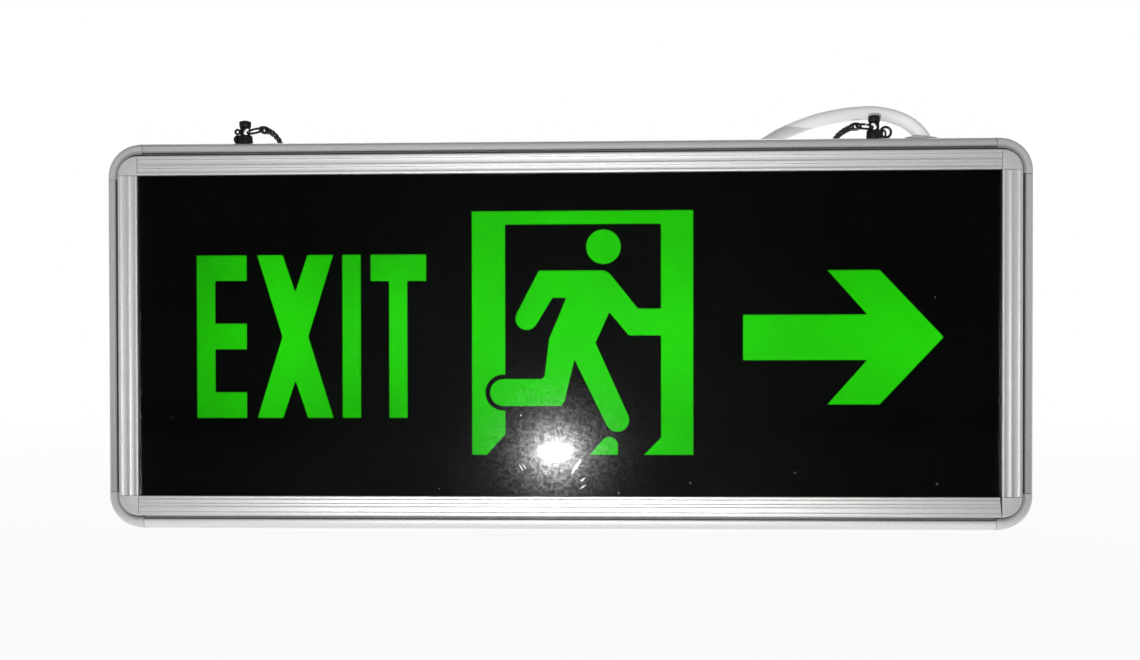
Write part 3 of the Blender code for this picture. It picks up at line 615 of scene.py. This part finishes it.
def make_looks():
    white = (0.80, 0.80, 0.785)
    return {
        "rail_across": anodised("anodised_across", (2.5, 2600.0, 2600.0)),
        "rail_upright": anodised("anodised_upright", (2600.0, 2600.0, 2.5)),
        "corner": silver_paint(),
        # Painted shade: groove and corner_groove darken the grooves' faces, and edge and corner_edge the
        # bead's inner edge beside them, where shade falls.
        "groove": metal("groove_painted_shade", (0.20, 0.20, 0.195), 0.6, tone=0.25, metallic=0.5),
        "edge": metal("groove_edge_painted_shade", (0.46, 0.46, 0.455), 0.55, tone=0.15, metallic=0.75),
        "corner_groove": plastic("corner_groove_painted_shade", (0.22, 0.22, 0.215), 0.6, 0.2),
        "corner_edge": plastic("corner_edge_painted_shade", (0.36, 0.36, 0.355), 0.5, 0.12),
        "acrylic": clear_acrylic(),
        "print": black_print(),
        "filter": painted_glow_green(),
        "plate": powder_coat("back_plate_white", (0.78, 0.78, 0.76), 0.45),
        "diffuser": plastic("diffuser_white", (0.86, 0.86, 0.84), 0.5),
        "led_board": plastic("led_board_white", (0.80, 0.80, 0.78), 0.4, grain=300.0),
        "circuit": plastic("circuit_green", (0.02, 0.22, 0.07), 0.35, 0.25, 160.0, 0.02, 90.0),
        "transformer": plastic("transformer_tape", (0.72, 0.50, 0.07), 0.45, 0.15),
        "capacitor": plastic("capacitor_sleeve", (0.03, 0.04, 0.09), 0.3, 0.2),
        "terminal": plastic("terminal_nylon", (0.78, 0.78, 0.74), 0.5),
        "battery": plastic("battery_sleeve", (0.04, 0.20, 0.09), 0.25, 0.15),
        "switch": plastic("switch_black", (0.02, 0.02, 0.02), 0.45, 0.3),
        "button": plastic("button_red", (0.55, 0.018, 0.018), 0.32, 0.1),
        "steel": metal("spring_steel", (0.58, 0.58, 0.60), 0.32),
        "nut": metal("zinc_nut", (0.62, 0.61, 0.56), 0.35),
        "nickel": metal("black_nickel", (0.045, 0.046, 0.041), 0.27, depth=0.006, tone=0.25),
        "chain": metal("black_nickel_chain", (0.06, 0.06, 0.055), 0.3, tone=0.3),
        "ferrule": metal("ferrule_tin", (0.72, 0.72, 0.70), 0.3),
        "grommet": plastic("grommet_grey", (0.52, 0.52, 0.51), 0.6, 0.1, 1200.0, 0.02),
        "cable": plastic("cable_white", (0.90, 0.90, 0.885), 0.42, 0.03, 700.0, 0.015, 40.0),
        "lead": plastic("lead_white", white, 0.45, 0.05),
        "battery_lead": plastic("battery_lead_red", (0.55, 0.02, 0.02), 0.4, 0.1),
        "core_brown": plastic("core_brown", (0.16, 0.06, 0.02), 0.4, 0.1),
        "core_blue": plastic("core_blue", (0.02, 0.09, 0.45), 0.4, 0.1),
        "core_green": plastic("core_green", (0.03, 0.30, 0.04), 0.4, 0.1),
        "core_yellow": plastic("core_yellow", (0.70, 0.55, 0.03), 0.4, 0.1),
        "lens_mains": glowing_lens("lens_green", (0.05, 0.60, 0.08), 0.8),
        "lens_charge": glowing_lens("lens_red", (0.60, 0.03, 0.03), 0.5),
        "lens_fault": glowing_lens("lens_yellow", (0.75, 0.50, 0.03), 0.0),
    }


LOOKS = make_looks()


# Frame


def bezier(start, leave, arrive, end, count):
    """A flat curve's points, without its last one."""
    spots = [Vector((u * MM, v * MM, 0)) for u, v in (start, leave, arrive, end)]
    return [(p.x, p.y) for p in interpolate_bezier(*spots, count + 1)[:-1]]


def bead(inner_edge, proud=0.0):
    """The bead from the groove's floor: a rounded inner edge, a nearly flat front, and a side
    that bulges to its widest at mid-depth."""
    front = 2.62 - proud
    points = [(inner_edge * MM, GROOVE_DEEP)]
    points += bezier(
        (inner_edge, front + 0.25), (inner_edge, front + 0.1),
        (inner_edge + 0.1, front), (inner_edge + 0.25, front), 4,
    )
    points += bezier((inner_edge + 0.25, front), (11.6, front + 0.1), (12.15, 3.3), (12.4, 4.8), 14)
    points += bezier((12.4, 4.8), (12.85, 7.1), (13.5, 9.5), (13.5, 12.5), 10)
    return points + [(BORDER, DEPTH / 2)]


def both_faces(front):
    """Repeats the front half of a section on the back."""
    back = [(u, DEPTH - v) for u, v in reversed(front)]
    return front + (back[1:] if front[-1] == back[0] else back)


def rail_ribs():
    """Three low rounded ribs on the land, with flat channels between them."""
    floor, crest = 0.22 * MM, 0.0
    spans = [(0.0, 1.1), (2.75, 3.9), (6.05, 7.5)]
    points = []
    for start, end in spans:
        start, end = start * MM, end * MM
        slope = 0.30 * MM
        if start > 0:
            points += [(start - slope * 0.6, floor), (start, floor * 0.35)]
            points += [(start + slope * 0.6, crest)]
        else:
            points.append((0.0, 0.12 * MM))
            points.append((0.12 * MM, crest))
        if end < LAND:
            points += [(end - slope * 0.6, crest), (end, floor * 0.35)]
            points += [(end + slope * 0.6, floor)]
        else:
            points += [(LAND - 0.22 * MM, crest), (LAND, 0.22 * MM)]
    return points


def inner_side():
    half = [
        (0.0, LIP),
        (SLOT_END, LIP),
        (SLOT_END, SLOT_DEEP),
        (RIB_TIP, SLOT_DEEP),
        (RIB_TIP, RIB_END),
        (LAND + 1.1 * MM, RIB_END),
        (WEB, 8.5 * MM),
    ]
    return both_faces(half)


def rail_section():
    outside = both_faces(rail_ribs() + [(LAND, GROOVE_DEEP)] + bead(BEAD_EDGE))
    return rounded(outside, 0.06 * MM, 2) + [Vector(p) for p in reversed(inner_side())]


def rail_place(angle, centre):
    """Turns a section so that u points along +X rotated by the angle about Y."""
    section = Matrix.Translation((0, FRONT, 0))
    return Matrix.Translation(centre) @ Matrix.Rotation(angle, 4, "Y") @ section


def prism(name, outline, low, high, matrix):
    rings = [[(u, v, z) for u, v in outline] for z in (low, high)]
    return loft(name, rings, matrix=matrix)


def shade_groove(piece, place_of, *looks):
    """Paints shade into the groove: its faces take a darker material, the painted shade, which fades over
    the bead's inner edge.
    """
    piece.data.materials.clear()
    for look in looks:
        piece.data.materials.append(look)
    for face in piece.data.polygons:
        u, v = place_of(face.center)
        # Faces deep in the groove take the painted shade, and the bead's inner edge beside it takes a
        # lighter painted shade.
        deep = 0.9 * MM < min(v, DEPTH - v) < GROOVE_DEEP + 0.02 * MM
        if deep and LAND - 0.02 * MM < u < (BEAD_EDGE + 0.8) * MM:
            face.material_index = 1 if u < (BEAD_EDGE + 0.3) * MM else 2


def build_rails():
    middle = (OPENING_LOW + OPENING_HIGH) / 2
    half_tall = (OPENING_HIGH - OPENING_LOW) / 2 - SEAM
    half_wide = HALF_OPENING - SEAM
    places = {
        "rail_right": (0, (HALF_OPENING, 0, middle), half_tall, "rail_upright"),
        "rail_top": (-math.pi / 2, (0, 0, OPENING_HIGH), half_wide, "rail_across"),
        "rail_left": (math.pi, (-HALF_OPENING, 0, middle), half_tall, "rail_upright"),
        "rail_bottom": (math.pi / 2, (0, 0, OPENING_LOW), half_wide, "rail_across"),
    }
    rails = {}
    outline = rail_section()
    for name, (angle, centre, half, look) in places.items():
        place = rail_place(angle, centre)
        rail = new_object(f"{name}_extrusion", prism(name, outline, -half, half, place))
        inner, outer = half + SEAM - TAB - LAP_SEAM, half + MM
        for low, high in ((-outer, -inner), (inner, outer)):
            notch = box_mesh("notch", (LAND + 0.35 * MM, -MM, low), (BORDER + MM, DEPTH + MM, high))
            notch.transform(place)
            boolean(rail, notch)
        rails[name] = (rail, look, place.inverted())
    boolean(rails["rail_bottom"][0], skew_cut(half_wide))
    return rails


def skew_cut(rail_end):
    """What the bottom rail's right end has lost, because it is cut a little out of square."""
    mesh = box_mesh("skew_cut", (-0.9 * MM, -MM, -9 * MM), (0.9 * MM, 9 * MM, 9 * MM))
    place = Matrix.Translation((rail_end + 0.42 * MM, FRONT, OPENING_LOW - 3.0 * MM))
    mesh.transform(place @ Matrix.Rotation(math.radians(-5.0), 4, "Y"))
    return mesh


def cut_rails(rails):
    """The holes for the hangers, cable, button and indicators."""
    top, bottom = rails["rail_top"][0], rails["rail_bottom"][0]
    for x, radius in (
        (middle_x("post_nut_left"), 1.6),
        (middle_x("post_nut_right"), 1.6),
        (CABLE_HOLE_X, 4.8),
    ):
        boolean(top, cylinder_mesh("hole", (x, 0, HEIGHT - 6 * MM), (x, 0, HEIGHT + MM), radius * MM))
    for node, radius in (
        ("test_button", 2.1),
        ("indicator_mains", 1.55),
        ("indicator_charge", 1.55),
        ("indicator_fault", 1.55),
    ):
        x = middle_x(node)
        boolean(bottom, cylinder_mesh("hole", (x, 0, -MM), (x, 0, 4 * MM), radius * MM))
    for name, (rail, look, inverse) in rails.items():
        finish_piece(rail, "sign", name, LOOKS[look], 28)
        shade_groove(rail, lambda p: (inverse @ p)[:2], LOOKS[look], LOOKS["groove"], LOOKS["edge"])


def corner_section():
    """The corner's flat land and narrow groove, and inside it the same hollow as the rails."""
    front = [(0.0, 0.12 * MM), (0.12 * MM, 0.0), (LAND - 0.35 * MM, 0.0), (LAND, 0.35 * MM)]
    front += [(LAND, GROOVE_DEEP)] + bead(BEAD_EDGE)
    outside = rounded(both_faces(front), 0.08 * MM, 2)
    return outside + [Vector(p) for p in reversed(inner_side())]


def bead_section():
    """The corner's bead: a hair proud of the rails' beads, and wider, so its groove is narrow."""
    outside = both_faces(bead(8.3, 0.06))
    inner = [(WEB - 0.4 * MM, DEPTH - 8.4 * MM), (WEB - 0.4 * MM, 8.4 * MM)]
    return rounded(outside, 0.06 * MM, 2) + [Vector(p) for p in inner]


def corner_rings(outline, centre, right, up, lap):
    """The outline turned a quarter about the opening's corner, with straight laps at its ends."""
    steps = 32
    stations = [(0.0, -lap)] if lap else []
    stations += [(math.pi / 2 * k / steps, 0.0) for k in range(steps + 1)]
    stations += [(math.pi / 2, lap)] if lap else []
    rings = []
    for angle, slide in stations:
        across, rise = math.cos(angle), math.sin(angle)
        shift = Vector((0, 0, slide)) if angle == 0.0 else Vector((-slide, 0, 0))
        ring = []
        for u, v in outline:
            p = Vector((u * across, v, u * rise)) + shift
            ring.append(centre + Vector((right * p.x, p.y, up * p.z)))
        rings.append(ring)
    return rings


def build_corners():
    places = {
        "corner_top_right": (1, 1),
        "corner_top_left": (-1, 1),
        "corner_bottom_left": (-1, -1),
        "corner_bottom_right": (1, -1),
    }
    land_outline, bead_outline = corner_section(), bead_section()
    for name, (right, up) in places.items():
        level = OPENING_HIGH if up > 0 else OPENING_LOW
        centre = Vector((right * HALF_OPENING, FRONT, level))
        body = loft(name, corner_rings(land_outline, centre, right, up, 0.0))
        piece = new_object(f"{name}_moulding", body)
        lap = loft("bead", corner_rings(bead_outline, centre, right, up, TAB))
        boolean(piece, lap, "UNION")
        finish_piece(piece, "sign", name, LOOKS["corner"], 30)
        place_of = lambda p: (math.hypot(p.x - centre.x, p.z - centre.z), p.y - FRONT)
        shade_groove(piece, place_of, LOOKS["corner"], LOOKS["corner_groove"], LOOKS["corner_edge"])


cut_rails(build_rails())
build_corners()


# Hangers and chains

# Radius and height above the rail, in mm
POST_PROFILE = [
    (0, -9.5), (1.4, -9.5), (1.4, 0.15), (3.0, 0.15), (2.85, 3.1), (2.5, 3.4), (1.95, 3.5),
    (1.95, 6.2), (2.25, 6.7), (2.35, 8.5), (2.2, 8.75), (1.4, 8.8), (1.3, 9.05), (0, 9.05),
]
EYE_Z = HEIGHT + 4.6 * MM
EYE_RADIUS = 1.05 * MM
# A second hole, as room for the wire when the ring swings: how far inward and up, and its radius
EYE_WEAR = (0.3 * MM, 0.45 * MM, 0.98 * MM)
EYE_HALF_THICK = 0.8 * MM
EYE_ASIDE = {"left": 0.5 * MM, "right": 0.1 * MM}
STAND = Matrix.Rotation(math.pi / 2, 4, "X")
HANGERS = {"left": 1, "right": -1}  # which way each chain goes


def build_post(side, inward):
    x = middle_x(f"post_nut_{side}")
    place = Matrix.Translation((x, 0, HEIGHT))
    post = new_object(f"hanger_{side}", turned_mesh("post", POST_PROFILE, 64, place, 0.12 * MM))
    aside = Matrix.Rotation(math.radians(50), 4, "Z") @ STAND
    if side == "left":
        loops = [(3.0, EYE_Z + 0.2 * MM, 0.85, 0.45, STAND)]
        loops.append((3.0, HEIGHT + 1.75 * MM, 0.9, 0.86, aside))
    else:
        loops = [(4.4, HEIGHT + 2.5 * MM, 2.0, 0.5, STAND)]
        loops.append((3.7, HEIGHT + 1.9 * MM, 1.35, 0.42, aside))
    for off, z, radius, wire, turn in loops:
        centre = Matrix.Translation((x - inward * off * MM, 0, z))
        loop = ring_mesh("loop", radius * MM, wire * MM, 48, 16, centre @ turn)
        boolean(post, loop, "UNION")
    eye_x = x + EYE_ASIDE[side] * inward
    for off, rise, radius in ((0.0, 0.0, EYE_RADIUS), EYE_WEAR):
        spot = Vector((eye_x + off * inward, 0, EYE_Z + rise))
        reach = Vector((0, 4 * MM, 0))
        boolean(post, cylinder_mesh("eye", spot - reach, spot + reach, radius, 40))
    for near in (EYE_HALF_THICK, -EYE_HALF_THICK - 3 * MM):
        low = x - 2.2 * MM, near, EYE_Z - 1.5 * MM
        high = x + 2.2 * MM, near + 3 * MM, EYE_Z + 2.1 * MM
        boolean(post, box_mesh("flat", low, high))
    finish_piece(post, "sign", f"hanger_post_{side}", LOOKS["nickel"], 40)


def split_ring(name, centre, radius, wire, turn, gap_at, node):
    """A ring of bent wire, its ends just short of each other. Its body is named as its node."""
    gap = math.radians(3.0)
    steps, sides = 72, 14
    points = []
    for k in range(steps + 1):
        a = gap_at + gap + (2 * math.pi - 2 * gap) * k / steps
        points.append(Vector((radius * math.cos(a), radius * math.sin(a), 0)))
    mesh = loft(name, sweep_rings(points, circle(wire, sides), (0, 0, 1)))
    mesh.transform(Matrix.Translation(centre) @ turn)
    piece = new_object(name, mesh)
    finish_piece(piece, node, node, LOOKS["nickel"], 50)


LINK_WIRE = 0.47 * MM
LINK_LONG = 4.25 * MM
LINK_WIDE = 2.65 * MM
LINK_PITCH = LINK_LONG - 4 * LINK_WIRE


def link_rings(twist):
    """One curb link: an oval of wire, twisted so that its ends lie across each other."""
    steps = 28
    points = []
    for k in range(steps):
        a = 2 * math.pi * k / steps
        along = (LINK_LONG / 2 - LINK_WIRE) * math.cos(a)
        half = LINK_WIDE / 2 - LINK_WIRE
        side = half * math.copysign(abs(math.sin(a)) ** 0.8, math.sin(a))
        turn = twist * along / LINK_LONG
        points.append(Vector((side * math.cos(turn), side * math.sin(turn), along)))
    rings = []
    for k, point in enumerate(points):
        ahead, behind = points[(k + 1) % steps], points[k - 1]
        tangent = (ahead - behind).normalized()
        out = point - tangent * point.dot(tangent)
        out = (out if out.length > 1e-6 else tangent.orthogonal()).normalized()
        up = tangent.cross(out)
        rings.append([point + out * a + up * b for a, b in circle(LINK_WIRE, 10)])
    return rings


def build_chain(name, line, flat, node, turn=0.0, first_size=1.0):
    """Curb links threaded along a line. A larger first link has room for a ring's wire. The
    chain's body is named as its node."""
    total = length_of(line)
    count = max(2, round((total - (LINK_LONG - LINK_PITCH)) / LINK_PITCH))
    pitch = (total - LINK_LONG) / (count - 1)
    rings = link_rings(math.radians(70))
    bm = bmesh.new()
    for number in range(count):
        at = LINK_LONG / 2 + number * pitch
        centre, along = point_along(line, at)
        side = (Vector(flat) - along * Vector(flat).dot(along)).normalized()
        up = along.cross(side)
        frame_turn = Matrix((
            (*(side * math.cos(turn) + up * math.sin(turn)), 0),
            (*(up * math.cos(turn) - side * math.sin(turn)), 0),
            (*along, 0),
            (0, 0, 0, 1),
        )).transposed()
        size = first_size if number == 0 else 1.0
        place = Matrix.Translation(centre) @ frame_turn @ Matrix.Scale(size, 4)
        add_skin(bm, [[place @ p for p in ring] for ring in rings], cyclic=True)
    piece = new_object(name, mesh_of(bm, name))
    finish_piece(piece, node, node, LOOKS["chain"], 60)


def point_along(line, distance):
    for start, end in zip(line, line[1:]):
        length = (end - start).length
        if distance <= length:
            return start.lerp(end, distance / length), (end - start).normalized()
        distance -= length
    return line[-1], (line[-1] - line[-2]).normalized()


RING_RADIUS = 3.1 * MM
RING_WIRE = 0.45 * MM
RING_PULL = 0.4 * MM  # how far inward of the eye's middle its wire lies
RING_TILT = {"left": math.radians(9), "right": math.radians(3)}
RING_LEAN = math.radians(25)  # the ring's front edge hangs lower than its back
CHAIN_START = 1.5 * MM  # from the ring's middle, so that its first link is round the far side
# Places of the chain over the rail: the share of the way to its fall, and y and z in mm
CHAIN_TOP = {
    "left": [
        (0.60, 0.9, 155.6), (0.75, 4.0, 155.4), (0.87, 7.6, 154.3), (0.96, 11.0, 152.3),
        (1.0, 13.5, 149.6),
    ],
    "right": [
        (0.55, 0.9, 154.8), (0.69, 4.0, 154.3), (0.81, 7.6, 153.4), (0.90, 11.0, 152.0),
        (0.97, 13.5, 149.6),
    ],
}


def build_hanger(side, inward):
    build_post(side, inward)
    x = middle_x(f"post_nut_{side}")
    rise = RING_TILT[side]
    along = Vector((inward * math.cos(rise), 0, math.sin(rise)))
    tilt = Matrix.Rotation(-inward * rise, 4, "Y") @ Matrix.Rotation(RING_LEAN, 4, "X")
    centre = Vector((x + EYE_ASIDE[side] * inward, 0, EYE_Z)) + (RING_RADIUS + RING_PULL) * along
    split_ring(
        f"ring_in_eye_{side}", centre, RING_RADIUS, RING_WIRE, tilt, math.radians(70),
        f"jump_ring_{side}",
    )
    hang_low, hang_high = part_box(f"chain_hanging_{side}")
    hang = (hang_low + hang_high) / 2
    reach = abs(hang.x - x)
    over = [centre + CHAIN_START * along]
    over += [Vector((x + inward * s * reach, y * MM, z * MM)) for s, y, z in CHAIN_TOP[side]]
    over.append(Vector((hang.x, hang.y, hang_high.z + 2.4 * MM)))
    over = smooth_line(over, 0.5 * MM)
    build_chain(f"chain_over_{side}", over, (0, 0, 1), f"chain_top_{side}", first_size=1.25)
    top = Vector((hang.x, hang.y, hang_high.z + 1.2 * MM))
    foot = Vector((hang.x, hang.y, hang_low.z - 1.9 * MM))
    build_chain(
        f"chain_fall_{side}", [top, foot], (0, 1, 0), f"chain_hanging_{side}", math.radians(90)
    )
    low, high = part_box(f"end_ring_{side}")
    middle = (low + high) / 2
    split_ring(
        f"ceiling_ring_{side}", middle, 3.9 * MM, 0.6 * MM, STAND, math.radians(200),
        f"end_ring_{side}",
    )


for side_name, way in HANGERS.items():
    build_hanger(side_name, way)


# Cable fittings


def build_grommet():
    """A soft bush whose flange fits the rail, with a rounded rim round the leaning cable."""
    profile = [(0, -2.0), (5.3, -2.0), (5.3, 0.0), (4.9, 0.35), (0, 0.4)]
    place = Matrix.Translation((FLANGE_X, 0, HEIGHT))
    bush = new_object("cable_bush", turned_mesh("bush", profile, 72, place, 0.25 * MM))
    rail_top = both_faces([(0.0, GROOVE_DEEP)] + bead(BEAD_EDGE))
    place = rail_place(-math.pi / 2, (FLANGE_X, 0, OPENING_HIGH + 0.05 * MM))
    boolean(bush, prism("saddle", rail_top, -15 * MM, 15 * MM, place))
    foot, rim = Vector((CABLE_HOLE_X, 0, HEIGHT - 3.1 * MM)), Vector((CABLE_HOLE_X, 0, HEIGHT + 0.1 * MM))
    boolean(bush, cylinder_mesh("neck", foot, rim, 4.55 * MM), "UNION")
    leaves, reach = Vector(CABLE_EXIT), 9 * MM * CABLE_LEAN
    boolean(bush, cylinder_mesh("bore", leaves - reach, leaves + reach, CABLE_RADIUS + 0.15 * MM))
    finish_piece(bush, "sign", "cable_grommet", LOOKS["grommet"], 40)


def build_cable_end():
    """The sheath stops, and its three cores spread to their ferrules."""
    tail = [Vector(p) * MM for p in CABLE_TAIL]
    along = (tail[-1] - tail[-2]).normalized()
    aside = Vector((-along.y, along.x, 0))
    # How far aside and how high a core starts, and how far aside it ends, in mm
    spread = {"brown": (1.0, 3.35, 5.1), "blue": (0.0, 1.8, 0.0), "earth": (-1.0, 3.35, -5.1)}
    collar = [(0, 0), (1.4, 0), (1.4, 3.6), (1.25, 4.1), (0.72, 5.0), (0.7, 12.0), (0, 12.0)]
    sides = 20
    pieces = []
    for use, (start_off, start_z, end_off) in spread.items():
        start = tail[-1] - along * 0.5 * MM + aside * start_off * MM
        start.z = start_z * MM
        end = tail[-1] + along * 24 * MM + aside * end_off * MM
        end.z = 1.6 * MM
        near_end, leave = end - along * 8 * MM, start + along * 4 * MM
        line = smooth_line([start, leave, near_end, end], 0.8 * MM)
        mesh = loft(f"core_{use}", sweep_rings(line, circle(0.9 * MM, sides)))
        core = new_object(f"core_{use}_insulated", mesh)
        look = LOOKS["core_green" if use == "earth" else f"core_{use}"]
        finish_piece(core, "sign", f"core_{use}", look, 50)
        if use == "earth":
            core.data.materials.append(LOOKS["core_yellow"])
            for face in core.data.polygons:
                if face.index % (sides // 2) < 6:  # two stripes along the core
                    face.material_index = 1
        turn = (line[-1] - line[-2]).to_track_quat("Z", "Y").to_matrix().to_4x4()
        place = Matrix.Translation(end + along * 0.3 * MM) @ turn
        mesh = turned_mesh("sleeve", collar, 40, place, 0.1 * MM)
        sleeve = new_object(f"ferrule_{use}_crimped", mesh)
        finish_piece(sleeve, "sign", f"ferrule_{use}", LOOKS["ferrule"], 40)
        pieces += [core, sleeve]
    return pieces


build_grommet()
sheath = loft("mains_cable_sheath", sweep_rings(CABLE_LINE, circle(CABLE_RADIUS, 32)))
cable = new_object("mains_cable_sheath", sheath)
finish_piece(cable, "sign", None, LOOKS["cable"], 50)
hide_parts("mains_cable", "cable_coil", "cable_end")
CABLE_PIECES = build_cable_end()


# Test button and indicators, under the bottom rail


def build_button():
    cap = [(0, 0.5), (1.3, 0.42), (1.8, 0.75), (1.8, 1.8), (2.8, 1.8), (2.8, 2.6), (0.9, 2.6)]
    cap += [(0.9, 8.5), (0, 8.5)]
    place = Matrix.Translation((middle_x("test_button"), 0, 0))
    button = new_object("test_button_cap", turned_mesh("cap", cap, 48, place, 0.1 * MM))
    finish_piece(button, "test_button", "test_button", LOOKS["button"], 40)
    lens = [(0, 0.3), (0.5, 0.34), (0.9, 0.48), (1.2, 0.75), (1.3, 1.1), (1.3, 1.8), (1.9, 1.8)]
    lens += [(1.9, 2.6), (1.3, 2.6), (1.3, 6.0), (0, 6.0)]
    for use, slot in (("mains", "lens_green"), ("charge", "lens_red"), ("fault", "lens_yellow")):
        place = Matrix.Translation((middle_x(f"indicator_{use}"), 0, 0))
        piece = new_object(f"indicator_lens_{use}", turned_mesh("lens", lens, 40, place))
        finish_piece(piece, "sign", f"indicator_{use}", LOOKS[f"lens_{use}"], 40)


def build_spring():
    """The button's return spring, built as a coil at its resting length; the real spring shortens as the
    button goes in.
    """
    low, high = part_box("button_spring")
    middle = (low.x + high.x) / 2
    wire, turns, steps = 0.27 * MM, 4.0, 96
    radius = (high.x - low.x) / 2 - wire
    points = []
    for k in range(steps + 1):
        a = 2 * math.pi * turns * k / steps
        rise = low.z + wire + (high.z - low.z - 2 * wire) * k / steps
        points.append((middle + radius * math.cos(a), radius * math.sin(a), rise))
    spring = new_object("button_spring_coil", loft("coil", sweep_rings(points, circle(wire, 10))))
    finish_piece(spring, "sign", "button_spring", LOOKS["steel"], 60)
    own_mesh(spring)


build_button()
build_spring()

# Carried-over CAD nodes keep their shapes and take these materials
CARRIED = {
    "front_cover": "acrylic",
    "legend_mask": "print",
    "green_filter": "filter",
    "diffuser": "diffuser",
    "back_plate": "plate",
    "led_board_upper": "led_board",
    "led_board_lower": "led_board",
    "driver_board": "circuit",
    "transformer": "transformer",
    "capacitor": "capacitor",
    "terminal_block": "terminal",
    "battery_pack": "battery",
    "battery_clip": "steel",
    "button_switch": "switch",
    "post_nut_left": "nut",
    "post_nut_right": "nut",
    "mains_lead": "lead",
    "led_lead": "lead",
    "battery_lead": "battery_lead",
}
for node_name, look_name in CARRIED.items():
    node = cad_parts[node_name]
    node.data.materials.clear()
    node.data.materials.append(LOOKS[look_name])


# Studio


def area_light(name, place, target, size, power, shape="RECTANGLE"):
    data = bpy.data.lights.new(name, "AREA")
    data.shape = shape
    data.size, data.size_y = size
    data.energy = power
    light = bpy.data.objects.new(name, data)
    away = Vector(place) - Vector(target)
    light.rotation_euler = away.to_track_quat("Z", "Y").to_euler()
    light.location = place
    light.visible_camera = False
    bpy.context.scene.collection.objects.link(light)


def make_floor():
    """A pale floor that fades to plain white far from the object."""
    bm = bmesh.new()
    bmesh.ops.create_circle(bm, cap_ends=True, segments=96, radius=6.0)
    floor = new_object("floor", mesh_of(bm, "floor"))
    floor.location.z = -0.00002
    made = Surface("floor_pale", 0.7)
    fade = made.ramp(made.distance(made.place), 0.93, 1.0, 0.1, 1.2)
    made.set("Base Color", made.mix(made.noise(40.0, 2), (0.80, 0.80, 0.79), (0.84, 0.84, 0.83)))
    glow = made.node("ShaderNodeEmission")
    glow.inputs["Strength"].default_value = 1.0
    blend = made.node("ShaderNodeMixShader")
    made.link(fade, blend.inputs["Fac"])
    made.link(made.shader.outputs["BSDF"], blend.inputs[1])
    made.link(glow.outputs["Emission"], blend.inputs[2])
    made.link(blend.outputs["Shader"], made.tree.nodes["Material Output"].inputs["Surface"])
    floor.data.materials.append(made.material)
    floor.visible_shadow = False  # the flash sits low, and reaches under it


def make_world():
    """A plain white backdrop that lights the object only softly."""
    world = bpy.data.worlds.new("studio")
    world.use_nodes = True
    tree = world.node_tree
    plain = tree.nodes["Background"]
    plain.inputs["Color"].default_value = (1, 1, 1, 1)
    plain.inputs["Strength"].default_value = 1.0
    soft = tree.nodes.new("ShaderNodeBackground")
    soft.inputs["Color"].default_value = (1, 1, 1, 1)
    soft.inputs["Strength"].default_value = 0.23
    rays = tree.nodes.new("ShaderNodeLightPath")
    blend = tree.nodes.new("ShaderNodeMixShader")
    tree.links.new(rays.outputs["Is Camera Ray"], blend.inputs["Fac"])
    tree.links.new(soft.outputs["Background"], blend.inputs[1])
    tree.links.new(plain.outputs["Background"], blend.inputs[2])
    tree.links.new(blend.outputs["Shader"], tree.nodes["World Output"].inputs["Surface"])
    bpy.context.scene.world = world


def make_cards():
    """Cards behind the camera and on the floor keep the front's reflections dark: black ones for
    the cover, a grey one for the bottom rail. Only reflections see them."""
    cards = {
        "card_behind_camera": ((-0.42, FRONT - 0.75, -0.22), (0.42, FRONT - 0.749, 0.30), 0.003),
        "card_on_floor": ((-0.42, FRONT - 0.75, 0.0002), (0.42, FRONT - 0.13, 0.0004), 0.003),
        "card_near_sign": ((-0.42, FRONT - 0.13, 0.0002), (0.42, FRONT - 0.004, 0.0004), 0.06),
    }
    for name, (low, high, tone) in cards.items():
        made = Surface(name, 0.9)
        made.set("Base Color", made.mix(made.noise(50.0), (tone * 0.8,) * 3, (tone * 1.2,) * 3))
        card = new_object(name, box_mesh(name, low, high))
        card.data.materials.append(made.material)
        card.visible_camera = False
        card.visible_diffuse = False
        card.visible_shadow = False


def make_lights():
    middle = Vector((0, 0, 0.08))
    area_light("key", (-0.5, -1.1, 1.25), middle, (1.1, 0.8), 1.4)
    area_light("fill", (0.9, -0.7, 0.9), middle, (0.8, 0.8), 0.5)
    area_light("rim", (0.1, 1.2, 0.7), middle, (1.2, 0.6), 6.0)
    spot = (-0.0174, FRONT - 0.560, -0.0043)
    area_light("flash", spot, (0.0, FRONT, 0.05), (0.019, 0.0065), 1.8, shape="ELLIPSE")


bpy.context.scene.view_settings.view_transform = "Standard"
make_floor()
make_world()
make_cards()
make_lights()
